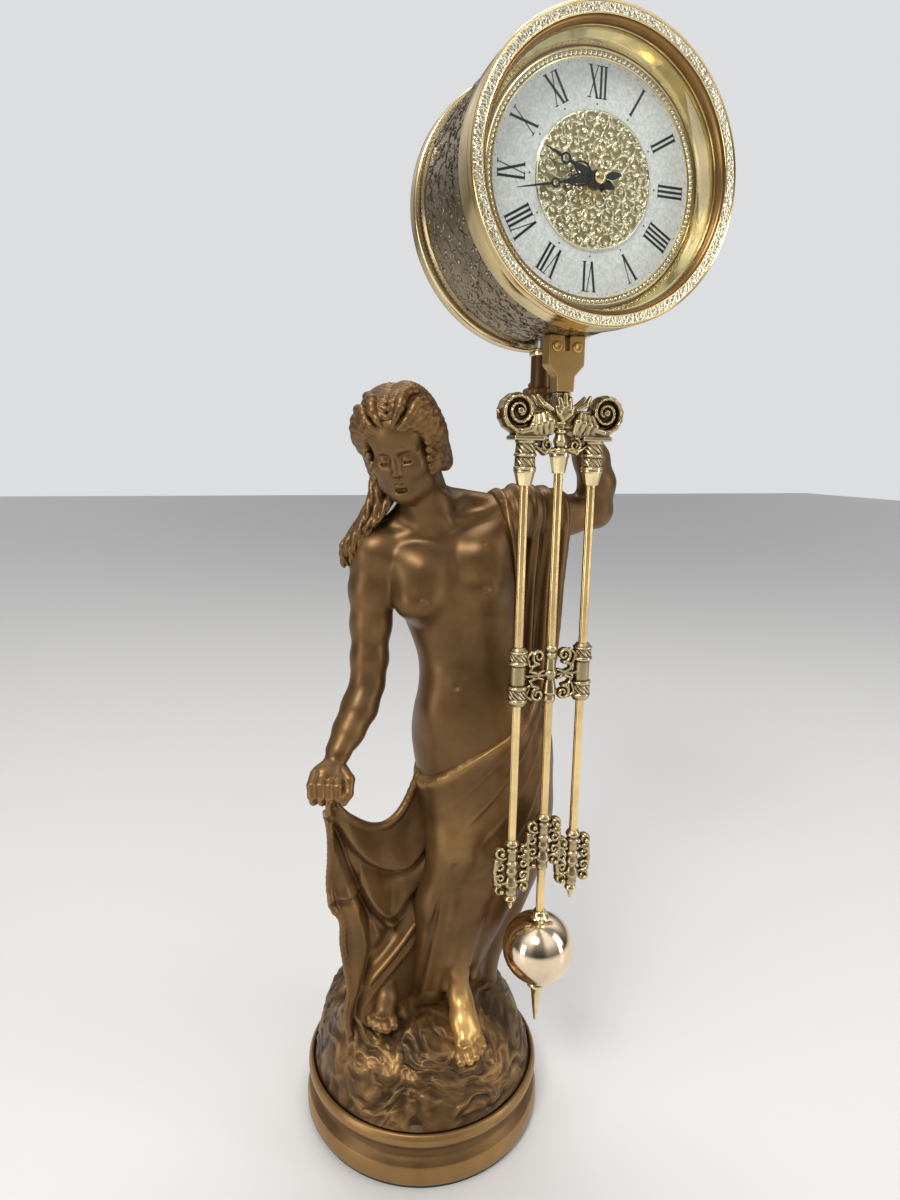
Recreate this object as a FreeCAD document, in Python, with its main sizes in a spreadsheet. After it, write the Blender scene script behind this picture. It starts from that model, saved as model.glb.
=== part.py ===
import FreeCAD, Part
import math
import os
import Sketcher

# Swinging figure clock, in millimetres.
# Origin: centre of the round foot at the table. +Z up, the dial looks along -Y.
# The pendulum is modelled plumb, as it hangs when it is still.

doc = FreeCAD.newDocument("mystery_clock")
sheet = doc.addObject("Spreadsheet::Sheet", "Sizes")

V = FreeCAD.Vector

# Driving sizes, one named cell each

DRIVING = {
    # round foot
    "felt_t": 1.5, "foot_r": 72.0, "plinth_top": 34.0, "foot_step": 2.0,
    "lower_roll_t": 15.0, "cove_in": 5.5, "upper_roll_in": 1.2, "upper_roll_t": 9.0,
    # rock and figure
    "rock_t": 42.0, "rock_in": 5.0, "figure_t": 362.0,
    # post in the raised hand
    "post_r": 5.5, "post_below_grip": 17.0, "post_above_grip": 31.5, "collar_t": 4.0,
    "collar_lip": 1.0, "neck_r": 4.0, "neck_t": 8.5, "beam_t": 7.5, "beam_half": 5.0,
    "beam_reach": 39.0, "beam_tail": 6.0, "groove_t": 1.55, "edge_gap": 0.05,
    # swing plane
    "plane_reach": 25.0, "pivot_in": 11.2,
    # clock case
    "case_r": 64.0, "case_wall": 2.0, "case_len": 57.0, "bezel_step": 1.0, "bezel_t": 5.0,
    "band_len": 12.0, "band_wall": 3.0, "bezel_w": 7.0, "rim_step": 3.3, "rim_len": 8.5,
    "rim_lap": 4.0, "front_ahead": 38.5, "slot_half": 9.0, "slot_len": 20.0,
    # dial side
    "dial_depth": 16.4, "dial_lap": 0.4, "dial_t": 1.0, "bead_gap": 0.2, "bead_ring_w": 3.2,
    "bead_ring_t": 1.5, "disc_r": 29.3, "disc_t": 0.5, "recess_slope": 4.4, "recess_wall": 1.6,
    "glass_depth": 7.0, "glass_t": 1.5, "glass_rise": 4.2, "glass_ledge": 1.4,
    # movement and hands
    "movement_half": 28.0, "movement_t": 16.0, "bush_r": 4.0, "bush_t": 3.4, "nut_r": 6.2,
    "nut_t": 2.0, "pipe_r": 2.5, "pipe_len": 11.0, "arbor_r": 1.5, "running_gap": 0.06,
    "hand_t": 0.5, "hand_gap": 1.0, "minute_len": 41.0, "hour_len": 28.0, "tail_len": 11.0,
    "cap_r": 2.8, "cap_t": 1.8, "knob_r": 6.5, "knob_t": 5.0, "knob_gap": 0.6,
    "cell_r": 7.0, "cell_len": 48.0, "cell_drop": 17.0, "cell_nub_r": 2.6, "cell_nub_t": 1.2,
    # hanger and drive inside the case
    "cheek_t": 3.0, "cheek_in": 11.0, "cheek_len": 30.0, "crown_t": 3.0, "knife_t": 6.0,
    "knife_half": 2.9, "drive_half": 17.0, "drive_len": 22.0, "drive_t": 18.0,
    # back cover
    "cover_t": 2.0, "cover_gap": 0.3, "grip_r": 15.0, "grip_t": 2.2, "lug_t": 3.0, 
    # pendulum block
    "block_half": 9.8, "block_deep": 8.0, "block_drop": 15.6, "stem_half": 4.6,
    "stem_t": 7.5, "block_slot_half": 1.2, "block_slot_t": 7.0, "screw_r": 1.5, "screw_head_r": 2.6,
    "screw_head_t": 1.1, "screw_len": 6.0, "screw_out": 5.6,
    # rods and castings
    "rod_r": 2.3, "rod_out": 19.0, 
    "cast_t": 10.0, "capital_t": 31.0, "lattice_t": 32.0, "lattice_drop": 131.0,
    "crown_drop": 228.0, "crown_h": 46.0, "volute_r": 10.6, "volute_out": 24.0,
    "abacus_half": 8.2, "abacus_t": 2.4, "collar_r": 5.6, "ferrule_t": 8.0, "ferrule_r": 5.6,
    "ferrule_tip_r": 3.6, "centre_ferrule_t": 10.0,
    "bob_r": 20.5, "bob_drop": 349.0, "finial_t": 28.0, "finial_r": 5.8, "drop_t": 9.0,
    "drop_r": 3.6, "socket": 3.0,
    "overrun": 3.0,
}

for row, name in enumerate(DRIVING, start=1):
    sheet.set("A%d" % row, name)
    sheet.set("B%d" % row, repr(DRIVING[name]))
    sheet.setAlias("B%d" % row, name)
doc.recompute()


class Size:
    """A length as a number, with the sheet formula that gives it."""

    def __init__(self, value, text):
        self.value = value
        self.text = text

    def joined(self, sign, other, value):
        text = other.text if isinstance(other, Size) else repr(other)
        return Size(value, "(%s %s %s)" % (self.text, sign, text))

    def __add__(self, other):
        return self.joined("+", other, self.value + number(other))

    def __sub__(self, other):
        return self.joined("-", other, self.value - number(other))

    def __mul__(self, other):
        return self.joined("*", other, self.value * number(other))

    def __truediv__(self, other):
        return self.joined("/", other, self.value / number(other))

    def __neg__(self):
        return Size(-self.value, "(0 - %s)" % self.text)


def number(size):
    return size.value if isinstance(size, Size) else float(size)


class Sizes:
    """The named sizes, read back from the sheet."""


d = Sizes()
for name in DRIVING:
    setattr(d, name, Size(float(sheet.get(name)), "Sizes." + name))

ZERO = Size(0.0, "0")

# Places that follow from the driving sizes

rock_top = d.plinth_top + d.rock_t
rock_r = d.foot_r - d.rock_in
cove_r = d.foot_r - d.cove_in
upper_roll_r = d.foot_r - d.upper_roll_in
post_x_share = 0.152
post_y_share = 0.058
grip_share = 0.956
post_x = d.figure_t * post_x_share
post_y = -(d.figure_t * post_y_share)
grip_z = rock_top + d.figure_t * grip_share
post_top = grip_z + d.post_above_grip
beam_bottom = post_top + d.neck_t
pivot_z = beam_bottom + d.beam_t - d.groove_t + d.edge_gap
plane_y = post_y - d.plane_reach
dial_z = pivot_z + d.case_r - d.pivot_in
front_y = plane_y - d.front_ahead
case_from = d.bezel_t + d.band_len
case_to = case_from + d.case_len
rim_to = case_to + d.rim_len
case_in_r = d.case_r - d.case_wall
bezel_r = d.case_r + d.bezel_step
opening_r = bezel_r - d.bezel_w
rim_r = d.case_r + d.rim_step
rim_hole_r = d.case_r - d.rim_lap
recess_r = opening_r - d.recess_slope
dial_r = recess_r + d.dial_lap
bead_ring_r = recess_r - d.bead_gap

nodes = {}


def keep(shape_object, label):
    """Name a finished piece; its label names its file."""
    shape_object.Label = label
    nodes[label] = shape_object
    return shape_object


def bind(item, name, size):
    """Set a length and tie it to the sheet."""
    setattr(item, name, number(size))
    if isinstance(size, Size):
        item.setExpression(name, size.text)


def place(item, x, y, z, axis=None, angle=0.0):
    """Put a piece at x, y, z and tie the place to the sheet."""
    turn = FreeCAD.Rotation(axis, angle) if axis is not None else FreeCAD.Rotation()
    item.Placement = FreeCAD.Placement(V(number(x), number(y), number(z)), turn)
    for letter, size in (("x", x), ("y", y), ("z", z)):
        if isinstance(size, Size):
            item.setExpression("Placement.Base." + letter, size.text)
    return item


def place_back(item, x, y, z):
    """Put a piece so that its own height runs backwards, away from the dial."""
    return place(item, x, y, z, V(1, 0, 0), -90.0)


def box(name, x0, x1, y0, y1, z0, z1):
    item = doc.addObject("Part::Box", name)
    bind(item, "Length", x1 - x0)
    bind(item, "Width", y1 - y0)
    bind(item, "Height", z1 - z0)
    return place(item, x0, y0, z0)


def cylinder(name, radius, height):
    item = doc.addObject("Part::Cylinder", name)
    bind(item, "Radius", radius)
    bind(item, "Height", height)
    return item


def cut(name, base, tool):
    item = doc.addObject("Part::Cut", name)
    item.Base = base
    item.Tool = tool
    return item


def fuse(name, pieces):
    item = doc.addObject("Part::MultiFuse", name)
    item.Shapes = pieces
    return item


def common(name, pieces):
    item = doc.addObject("Part::MultiCommon", name)
    item.Shapes = pieces
    return item


def origin_plane(body, role):
    for feature in body.Origin.OriginFeatures:
        if feature.Role == role:
            return feature
    raise ValueError(role)


def pin_vertex(sketch, geo, end, point, tag):
    """Tie one corner of a profile to its two sizes."""
    radius, height = point[0], point[1]
    for letter, size, axis_geo in (("X", radius, -2), ("Y", height, -1)):
        if not isinstance(size, Size):
            sketch.addConstraint(Sketcher.Constraint("PointOnObject", geo, end, axis_geo))
            continue
        kind = "Distance" + letter
        index = sketch.addConstraint(Sketcher.Constraint(kind, -1, 1, geo, end, size.value))
        title = "%s_%s" % (tag, letter.lower())
        sketch.renameConstraint(index, title)
        sketch.setExpression("Constraints." + title, size.text)


def profile_sketch(body, name, points):
    """A closed profile of lines and arcs; a third entry is the arc's radius to the next point."""
    sketch = body.newObject("Sketcher::SketchObject", name)
    sketch.AttachmentSupport = [(origin_plane(body, "XZ_Plane"), "")]
    sketch.MapMode = "FlatFace"
    count = len(points)
    ends = []
    for index, point in enumerate(points):
        after = points[(index + 1) % count]
        start = V(number(point[0]), number(point[1]), 0)
        finish = V(number(after[0]), number(after[1]), 0)
        if len(point) > 2:
            geo = add_arc(sketch, start, finish, point[2])
        else:
            geo = sketch.addGeometry(Part.LineSegment(start, finish), False)
        first = 1 if (sketch.getPoint(geo, 1) - start).Length < (sketch.getPoint(geo, 2) - start).Length else 2
        ends.append((geo, first, 3 - first))
    for index, point in enumerate(points):
        geo, first, _ = ends[index]
        before, _, last = ends[index - 1]
        sketch.addConstraint(Sketcher.Constraint("Coincident", before, last, geo, first))
        pin_vertex(sketch, geo, first, point, "corner%d" % index)
    for index, point in enumerate(points):
        if len(point) > 2:
            arc = sketch.addConstraint(Sketcher.Constraint("Radius", ends[index][0], abs(point[2].value)))
            sketch.renameConstraint(arc, "bend%d" % index)
            text = point[2].text if point[2].value > 0 else "(0 - %s)" % point[2].text
            sketch.setExpression("Constraints.bend%d" % index, text)
    return sketch


def add_arc(sketch, start, finish, radius):
    """A short arc; a positive radius bulges to the right of the way from start to finish."""
    chord = finish - start
    half = chord.Length / 2
    sag = abs(radius.value) - math.sqrt(max(radius.value ** 2 - half ** 2, 0.0))
    side = V(chord.y, -chord.x, 0) / chord.Length
    if radius.value < 0:
        side = side * -1
    middle = (start + finish) / 2 + side * sag
    return sketch.addGeometry(Part.Arc(start, middle, finish), False)


def turned(name, points):
    """A turned piece: a profile of radius and height, revolved round the height axis."""
    body = doc.addObject("PartDesign::Body", name)
    sketch = profile_sketch(body, name + "_profile", points)
    turn = body.newObject("PartDesign::Revolution", name + "_turn")
    turn.Profile = sketch
    turn.ReferenceAxis = (sketch, ["V_Axis"])
    turn.Angle = 360.0
    sketch.Visibility = False
    body.Tip = turn
    return body


def shaped(name, shape):
    """A piece whose form is worked out below from the named sizes."""
    item = doc.addObject("Part::Feature", name)
    item.Shape = shape
    item.Placement = FreeCAD.Placement()
    return item


# Closed curves and lofts for the sculpted pieces

CURVE_POINTS = 16


def ring_points(centre, across, deep, turn_deg, roll_deg, wave=None):
    """Points round an ellipse that is turned about Z and rolled about Y."""
    turn = FreeCAD.Rotation(V(0, 0, 1), turn_deg)
    roll = FreeCAD.Rotation(V(0, 1, 0), -roll_deg)
    points = []
    for step in range(CURVE_POINTS if wave is None else 2 * CURVE_POINTS):
        total = CURVE_POINTS if wave is None else 2 * CURVE_POINTS
        angle = 2 * math.pi * step / total
        swell = 1.0 if wave is None else 1.0 + wave(angle)
        flat = V(across * swell * math.cos(angle), deep * swell * math.sin(angle), 0)
        points.append(centre + roll.multVec(turn.multVec(flat)))
    return points


def closed_wire(points):
    curve = Part.BSplineCurve()
    curve.interpolate(Points=points, PeriodicFlag=True)
    return Part.Wire([curve.toShape()])


def loft(rings):
    shape = Part.makeLoft([closed_wire(points) for points in rings], True, False)
    if shape.Volume < 0:
        shape.reverse()
    return shape


def refined(rows, parts=2):
    """More rows between the given ones, on smooth curves through them."""
    result = []
    for index in range(len(rows) - 1):
        before = rows[max(index - 1, 0)]
        first = rows[index]
        second = rows[index + 1]
        after = rows[min(index + 2, len(rows) - 1)]
        for part in range(parts):
            t = part / parts
            row = []
            for a, b, c, e in zip(before, first, second, after):
                rise = (c - a) / 2
                fall = (e - b) / 2
                row.append(b + rise * t + (3 * (c - b) - 2 * rise - fall) * t ** 2
                           + (2 * (b - c) + rise + fall) * t ** 3)
            result.append(tuple(row))
    result.append(tuple(rows[-1]))
    return result


def tube_rings(stations):
    """Rings square to the way through the stations, each (centre, across, deep)."""
    rings = []
    for index, (centre, across, deep) in enumerate(stations):
        before = stations[max(index - 1, 0)][0]
        after = stations[min(index + 1, len(stations) - 1)][0]
        way = (after - before).normalize()
        side = V(0, 1, 0).cross(way).normalize()
        front = way.cross(side)
        points = []
        for step in range(CURVE_POINTS):
            angle = 2 * math.pi * step / CURVE_POINTS
            points.append(centre + side * (across * math.cos(angle)) + front * (deep * math.sin(angle)))
        rings.append(points)
    return rings


def ball(centre, radius):
    return Part.makeSphere(radius, centre)


# The figure's places are shares of her height, from the rock's top under her feet

FIGURE = d.figure_t.value
GROUND = rock_top.value


def spot(x_share, y_share, z_share):
    return V(FIGURE * x_share, FIGURE * y_share, GROUND + FIGURE * z_share)


# Foot: felt, plinth and rock

felt_r = d.foot_r - d.foot_step
place(keep(cylinder("felt", felt_r, d.felt_t), "base_felt"), 0, 0, 0)

lower_top = d.felt_t + d.lower_roll_t
upper_bottom = d.plinth_top - d.upper_roll_t
plinth = turned("plinth", [
    (0, d.felt_t),
    (felt_r, d.felt_t),
    (d.foot_r, d.felt_t + d.foot_step),
    (d.foot_r, lower_top - d.foot_step * 2, d.lower_roll_t),
    (d.foot_r - d.foot_step, lower_top),
    (cove_r + d.foot_step / 2, lower_top + d.foot_step / 2, -d.lower_roll_t),
    (cove_r + d.foot_step / 2, upper_bottom - d.foot_step / 2),
    (upper_roll_r - d.foot_step, upper_bottom, d.upper_roll_t * 0.54),
    (upper_roll_r - d.foot_step, d.plinth_top - d.foot_step / 4),
    (rock_r + d.foot_step / 4, d.plinth_top - d.foot_step / 4),
    (rock_r + d.foot_step / 4, d.plinth_top - d.foot_step),
    (0, d.plinth_top - d.foot_step),
])
keep(plinth, "base_plinth")


def rock_wave(phase_share):
    """Uneven ledges of the rock as a share of its radius."""
    lump_shares = ((2, 0.012), (3, 0.016), (5, 0.014), (8, 0.010))

    def wave(angle):
        total = 0.0
        for count, share in lump_shares:
            total += share * math.sin(count * angle + 2 * math.pi * phase_share * count)
        return total
    return wave


# each ledge: radius share, height share, shift of the centre as shares of the radius
ROCK_LEDGE_SHARES = (
    (1.000, 0.000, 0.000, 0.000, 0.00),
    (0.985, 0.140, 0.000, 0.000, 0.07),
    (0.945, 0.330, -0.015, 0.030, 0.16),
    (0.870, 0.540, -0.040, 0.075, 0.21),
    (0.750, 0.740, -0.075, 0.120, 0.33),
    (0.590, 0.900, -0.090, 0.150, 0.41),
    (0.380, 1.000, -0.090, 0.165, 0.52),
)
rock_floor = d.plinth_top - d.foot_step
rock_rings = []
for r_share, z_share, x_share, y_share, phase in ROCK_LEDGE_SHARES:
    ledge_r = rock_r.value * r_share / (1 + 0.05)
    centre = V(rock_r.value * x_share, rock_r.value * y_share,
               rock_floor.value + (GROUND - rock_floor.value) * z_share)
    rock_rings.append(ring_points(centre, ledge_r, ledge_r, 0, 0, rock_wave(phase)))
rock_shape = loft(rock_rings)

# Figure: torso, skirt and legs are one casting; head, arms and loose cloth are joined to it

# each ring: x, y, height, half width, half depth as shares, then roll in degrees
TORSO_SHARES = (
    (0.094, -0.006, 0.343, 0.100, 0.075, 0.0),
    (0.083, -0.008, 0.448, 0.104, 0.079, 0.0),
    (0.075, -0.008, 0.503, 0.094, 0.069, 1.0),
    (0.069, -0.008, 0.550, 0.080, 0.058, 2.0),
    (0.058, -0.006, 0.605, 0.084, 0.061, 4.0),
    (0.047, -0.003, 0.660, 0.094, 0.066, 7.0),
    (0.041, -0.003, 0.715, 0.105, 0.068, 10.0),
    (0.039, 0.003, 0.757, 0.116, 0.058, 12.0),
    (0.025, 0.006, 0.787, 0.091, 0.039, 12.0),
    (0.011, 0.003, 0.801, 0.052, 0.032, 6.0),
    (0.000, -0.003, 0.815, 0.032, 0.029, 0.0),
    (-0.020, -0.011, 0.850, 0.029, 0.028, 0.0),
    (-0.030, -0.014, 0.875, 0.026, 0.026, 0.0),
)
SKIRT_SHARES = (
    (0.094, -0.008, 0.442, 0.114, 0.086, 20.0),
    (0.102, -0.008, 0.356, 0.113, 0.088, 9.0),
    (0.113, -0.011, 0.282, 0.100, 0.083, 3.0),
    (0.108, -0.008, 0.204, 0.097, 0.075, 0.0),
    (0.080, 0.003, 0.127, 0.091, 0.064, 0.0),
    (0.047, 0.014, 0.061, 0.099, 0.055, 0.0),
    (0.022, 0.022, -0.022, 0.116, 0.058, 0.0),
)
BODY_TURN = -12.0
SKIRT_FOLDS = 9
FOLD_SHARE = 0.035
# each station: x, y, height, half width, half depth as shares of her height
FRONT_SHIN_SHARES = (
    (0.105, -0.033, 0.204, 0.039, 0.039),
    (0.075, -0.036, 0.144, 0.031, 0.031),
    (0.047, -0.042, 0.077, 0.024, 0.024),
    (0.044, -0.052, 0.030, 0.019, 0.020),
    (0.044, -0.056, -0.010, 0.021, 0.024),
)
FRONT_FOOT_SHARES = (
    (0.044, -0.050, 0.004, 0.019, 0.020),
    (0.039, -0.083, -0.010, 0.021, 0.018),
    (0.033, -0.110, -0.030, 0.024, 0.015),
    (0.029, -0.130, -0.046, 0.024, 0.011),
    (0.027, -0.143, -0.054, 0.016, 0.006),
)
THIGH_SHARES = (
    (0.050, -0.016, 0.420, 0.058, 0.055),
    (0.048, -0.026, 0.345, 0.050, 0.048),
    (0.050, -0.036, 0.285, 0.043, 0.042),
    (0.042, -0.034, 0.225, 0.036, 0.036),
    (0.026, -0.030, 0.165, 0.031, 0.031),
)
BACK_SHIN_SHARES = (
    (0.030, 0.000, 0.215, 0.030, 0.030),
    (-0.030, 0.000, 0.125, 0.026, 0.026),
    (-0.064, -0.011, 0.055, 0.021, 0.021),
    (-0.072, -0.022, -0.005, 0.020, 0.022),
)
BACK_FOOT_SHARES = (
    (-0.072, -0.020, 0.010, 0.019, 0.019),
    (-0.080, -0.047, -0.001, 0.022, 0.016),
    (-0.086, -0.066, -0.015, 0.022, 0.012),
    (-0.088, -0.082, -0.024, 0.015, 0.006),
)
LOW_ARM_SHARES = (
    (-0.058, 0.014, 0.753, 0.035, 0.035),
    (-0.085, 0.014, 0.724, 0.033, 0.033),
    (-0.086, 0.011, 0.647, 0.028, 0.028),
    (-0.093, 0.003, 0.560, 0.025, 0.025),
    (-0.097, -0.003, 0.535, 0.0245, 0.0245),
    (-0.122, -0.022, 0.486, 0.022, 0.022),
    (-0.150, -0.047, 0.450, 0.016, 0.015),
    (-0.170, -0.066, 0.415, 0.017, 0.015),
)
RAISED_UPPER_SHARES = (
    (0.125, -0.006, 0.782, 0.036, 0.036),
    (0.190, -0.002, 0.795, 0.032, 0.032),
    (0.245, 0.000, 0.802, 0.029, 0.029),
    (0.290, 0.000, 0.808, 0.027, 0.027),
)
ELBOW_SHARES = (0.290, 0.000, 0.808, 0.0275)
RAISED_FORE_SHARES = (
    (0.292, 0.000, 0.806, 0.026, 0.026),
    (0.283, -0.010, 0.850, 0.028, 0.028),
    (0.258, -0.026, 0.893, 0.024, 0.024),
    (0.222, -0.042, 0.930, 0.018, 0.018),
    (0.186, -0.053, 0.951, 0.021, 0.018),
)
HEAD_SHARES = (
    (-0.061, -0.052, 0.842, 0.016, 0.014),
    (-0.058, -0.046, 0.858, 0.036, 0.040),
    (-0.052, -0.036, 0.886, 0.050, 0.058),
    (-0.047, -0.026, 0.920, 0.064, 0.069),
    (-0.045, -0.017, 0.955, 0.067, 0.069),
    (-0.045, -0.009, 0.980, 0.052, 0.052),
    (-0.046, -0.004, 0.996, 0.022, 0.022),
)
LOCK_SHARES = (
    (-0.030, 0.030, 0.905, 0.022, 0.022),
    (-0.055, 0.033, 0.850, 0.020, 0.020),
    (-0.090, 0.028, 0.790, 0.020, 0.020),
    (-0.113, 0.019, 0.748, 0.014, 0.014),
)
SHOULDER_CLOTH_SHARES = (
    (0.160, 0.010, 0.832, 0.032, 0.022),
    (0.172, 0.008, 0.800, 0.048, 0.036),
    (0.180, 0.008, 0.700, 0.052, 0.034),
    (0.185, 0.008, 0.580, 0.052, 0.034),
    (0.188, 0.008, 0.470, 0.048, 0.034),
    (0.185, 0.006, 0.380, 0.036, 0.026),
)
CLOTH_FOLDS = 7


def body_rings(table, folds=0):
    rings = []
    rows = refined(table)
    for index, (x, y, z, across, deep, roll) in enumerate(rows):
        depth_share = FOLD_SHARE * index / len(rows)

        def wave(angle, share=depth_share, drift=index * 0.18):
            return share * math.sin(folds * angle + drift)
        rings.append(ring_points(spot(x, y, z), FIGURE * across, FIGURE * deep, BODY_TURN, roll,
                                 wave if folds else None))
    return rings


def limb(table):
    stations = [(spot(x, y, z), FIGURE * across, FIGURE * deep) for x, y, z, across, deep in refined(table)]
    return loft(tube_rings(stations))


def joined(shapes):
    whole = shapes[0]
    for shape in shapes[1:]:
        whole = whole.fuse(shape)
    return whole


def solid_of(shape):
    """The one large solid of a cut piece."""
    return max(shape.Solids, key=lambda item: item.Volume)


torso = loft(body_rings(TORSO_SHARES))
skirt = loft(body_rings(SKIRT_SHARES, SKIRT_FOLDS))
bust_share = 0.041
bust = [ball(spot(-0.030, -0.038, 0.699), FIGURE * bust_share),
        ball(spot(0.066, -0.044, 0.712), FIGURE * bust_share)]
legs = [limb(THIGH_SHARES), limb(FRONT_SHIN_SHARES), limb(FRONT_FOOT_SHARES), limb(BACK_SHIN_SHARES), limb(BACK_FOOT_SHARES)]
figure_shape = solid_of(joined([torso, skirt] + legs + bust))

# The rock is hollowed to the shape of the feet and hem, so the two meet face to face
rock_shape = solid_of(rock_shape.cut(figure_shape))
keep(shaped("rock", rock_shape), "rock_mound")
keep(shaped("figure", figure_shape), "figure_body")

# Raised arm: the fist closes round the post
grip = V(post_x.value, post_y.value, grip_z.value)
finger_share = 0.0095
finger_r = FIGURE * finger_share
palm_share = 0.030
elbow_x, elbow_y, elbow_z, elbow_share = ELBOW_SHARES
raised = [limb(RAISED_UPPER_SHARES), limb(RAISED_FORE_SHARES)]
raised.append(ball(spot(elbow_x, elbow_y, elbow_z), FIGURE * elbow_share))
raised.append(ball(grip + V(finger_r * 0.6, finger_r * 0.4, 0), FIGURE * palm_share))
for finger in range(4):
    lift = (finger - 1.5) * 1.9 * finger_r
    around = d.post_r.value + finger_r * 0.8
    raised.append(Part.makeTorus(around, finger_r, grip + V(0, 0, lift)))
raised_shape = joined(raised)
post_bottom = grip_z - d.post_below_grip
post_hole = Part.makeCylinder(d.post_r.value, (post_top - post_bottom).value,
                              V(post_x.value, post_y.value, post_bottom.value))
raised_shape = solid_of(raised_shape.cut(post_hole).cut(figure_shape))
keep(shaped("raised", raised_shape), "raised_arm")

# Lowered arm: the fist holds the gathered edge of the cloth
fist = spot(-0.174, -0.071, 0.406)
lowered = [limb(LOW_ARM_SHARES), ball(fist, FIGURE * 0.0245)]
for finger in range(4):
    knuckle = fist + V((finger - 1.5) * 1.7, -1.0, -1.3) * finger_r
    lowered.append(ball(knuckle, finger_r * 1.25))
lowered_shape = solid_of(joined(lowered).cut(figure_shape))
keep(shaped("lowered", lowered_shape), "lowered_arm")

# Head with its hair, and the long locks that fall on the shoulder
nape = ball(spot(-0.030, 0.038, 0.915), FIGURE * 0.040)
head_shape = solid_of(joined([limb(HEAD_SHARES), nape]).cut(figure_shape))
keep(shaped("head", head_shape), "figure_head")
locks_shape = solid_of(limb(LOCK_SHARES).cut(figure_shape).cut(head_shape).cut(lowered_shape))
keep(shaped("locks", locks_shape), "hair_locks")

# Cloth over the raised shoulder
cloth_rings = []
for index, (x, y, z, across, deep) in enumerate(refined(SHOULDER_CLOTH_SHARES)):
    def cloth_wave(angle, drift=index * 0.1):
        return 0.07 * math.sin(CLOTH_FOLDS * angle + drift)
    cloth_rings.append(ring_points(spot(x, y, z), FIGURE * across, FIGURE * deep, 0, 0, cloth_wave))
cloth_shape = solid_of(loft(cloth_rings).cut(figure_shape).cut(raised_shape))
keep(shaped("cloth", cloth_shape), "shoulder_cloth")

# Swag held in the lowered hand: upright slices from the fist to the skirt
# each slice: x, top height, bottom height as shares of her height
SWAG_SHARES = (
    (-0.176, 0.405, 0.250),
    (-0.163, 0.392, 0.120),
    (-0.145, 0.362, 0.020),
    (-0.110, 0.330, -0.010),
    (-0.080, 0.316, -0.010),
    (-0.045, 0.330, -0.005),
    (-0.010, 0.372, 0.000),
    (0.030, 0.395, 0.010),
)
# nested folds: drop below the two held ends, width and height as shares of her height
FOLD_SHARES = ((0.144, 0.0170, 0.0078), (0.210, 0.0180, 0.0100), (0.285, 0.0200, 0.0094), (0.367, 0.0230, 0.0083))
swag_left_share = -0.171
swag_width_share = 0.215
swag_chord_share = 0.405
swag_fall_share = 0.026
swag_y_share = -0.038
swag_sag_share = 0.017
swag_pleat_share = 0.0048
swag_pleat_gap_share = 0.0373
swag_t_share = 0.0145
swag_back_share = 0.054
swag_turn_share = -0.085
swag_turn_width_share = 0.100
SWAG_STEPS = 24


def swag_front_share(x, z):
    """How far forward the cloth stands at a place, as a share of her height."""
    along = min(max((x - swag_left_share) / swag_width_share, 0.03), 0.97)
    hang = 4 * along * (1 - along)
    drop = (swag_chord_share - swag_fall_share * along - z) / max(hang ** 0.85, 0.14)
    edge = min(max((-0.105 - x) / 0.039, 0.0), 1.0)
    low = min(max((0.204 - z) / 0.166, 0.0), 1.0)
    folds = sum(height * math.exp(-((drop - level) / width) ** 2)
                - 0.7 * height * math.exp(-((drop - level - 1.6 * width) / width) ** 2)
                for level, width, height in FOLD_SHARES)
    upright = math.cos(2 * math.pi * (x - swag_left_share) / swag_pleat_gap_share)
    round_hip = min(max((x - swag_turn_share) / swag_turn_width_share, 0.0), 1.0)
    return (swag_y_share + swag_back_share * round_hip ** 2 * (3 - 2 * round_hip) - swag_sag_share * hang - folds * (1 - 0.65 * low) * (1 - 0.8 * edge)
            - swag_pleat_share * (low + 0.6 * edge) * upright)


def swag_slice(x, top, bottom):
    points = []
    for step in range(SWAG_STEPS + 1):
        z = top + (bottom - top) * step / SWAG_STEPS
        points.append(spot(x, swag_front_share(x, z), z))
    for z in (bottom, (top + bottom) / 2, top):
        points.append(spot(x, swag_front_share(x, z) + swag_t_share * 2, z))
    return points


def swag_wire(points):
    front = Part.BSplineCurve()
    front.interpolate(Points=points[:-3])
    back = Part.makePolygon([points[-4], points[-3], points[-2], points[-1], points[0]])
    return Part.Wire([front.toShape()] + back.Edges)


swag_shape = Part.makeLoft([swag_wire(swag_slice(*row)) for row in refined(SWAG_SHARES, 3)], True, False)
if swag_shape.Volume < 0:
    swag_shape.reverse()
for neighbour in [torso, skirt] + legs + [lowered_shape, rock_shape]:
    swag_shape = swag_shape.cut(neighbour)
swag_shape = solid_of(swag_shape)
keep(shaped("swag", swag_shape), "hand_swag")

# Post in the hand, its collar and the seat for the knife

place(keep(cylinder("post", d.post_r, post_top - post_bottom), "support_post"), post_x, post_y, post_bottom)
collar = turned("collar", [
    (d.post_r, 0),
    (d.post_r + d.collar_lip, d.collar_lip),
    (d.post_r + d.collar_lip, d.collar_t - d.collar_lip),
    (d.post_r, d.collar_t),
])
place(keep(collar, "post_collar"), post_x, post_y, post_top - d.collar_t)

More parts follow.
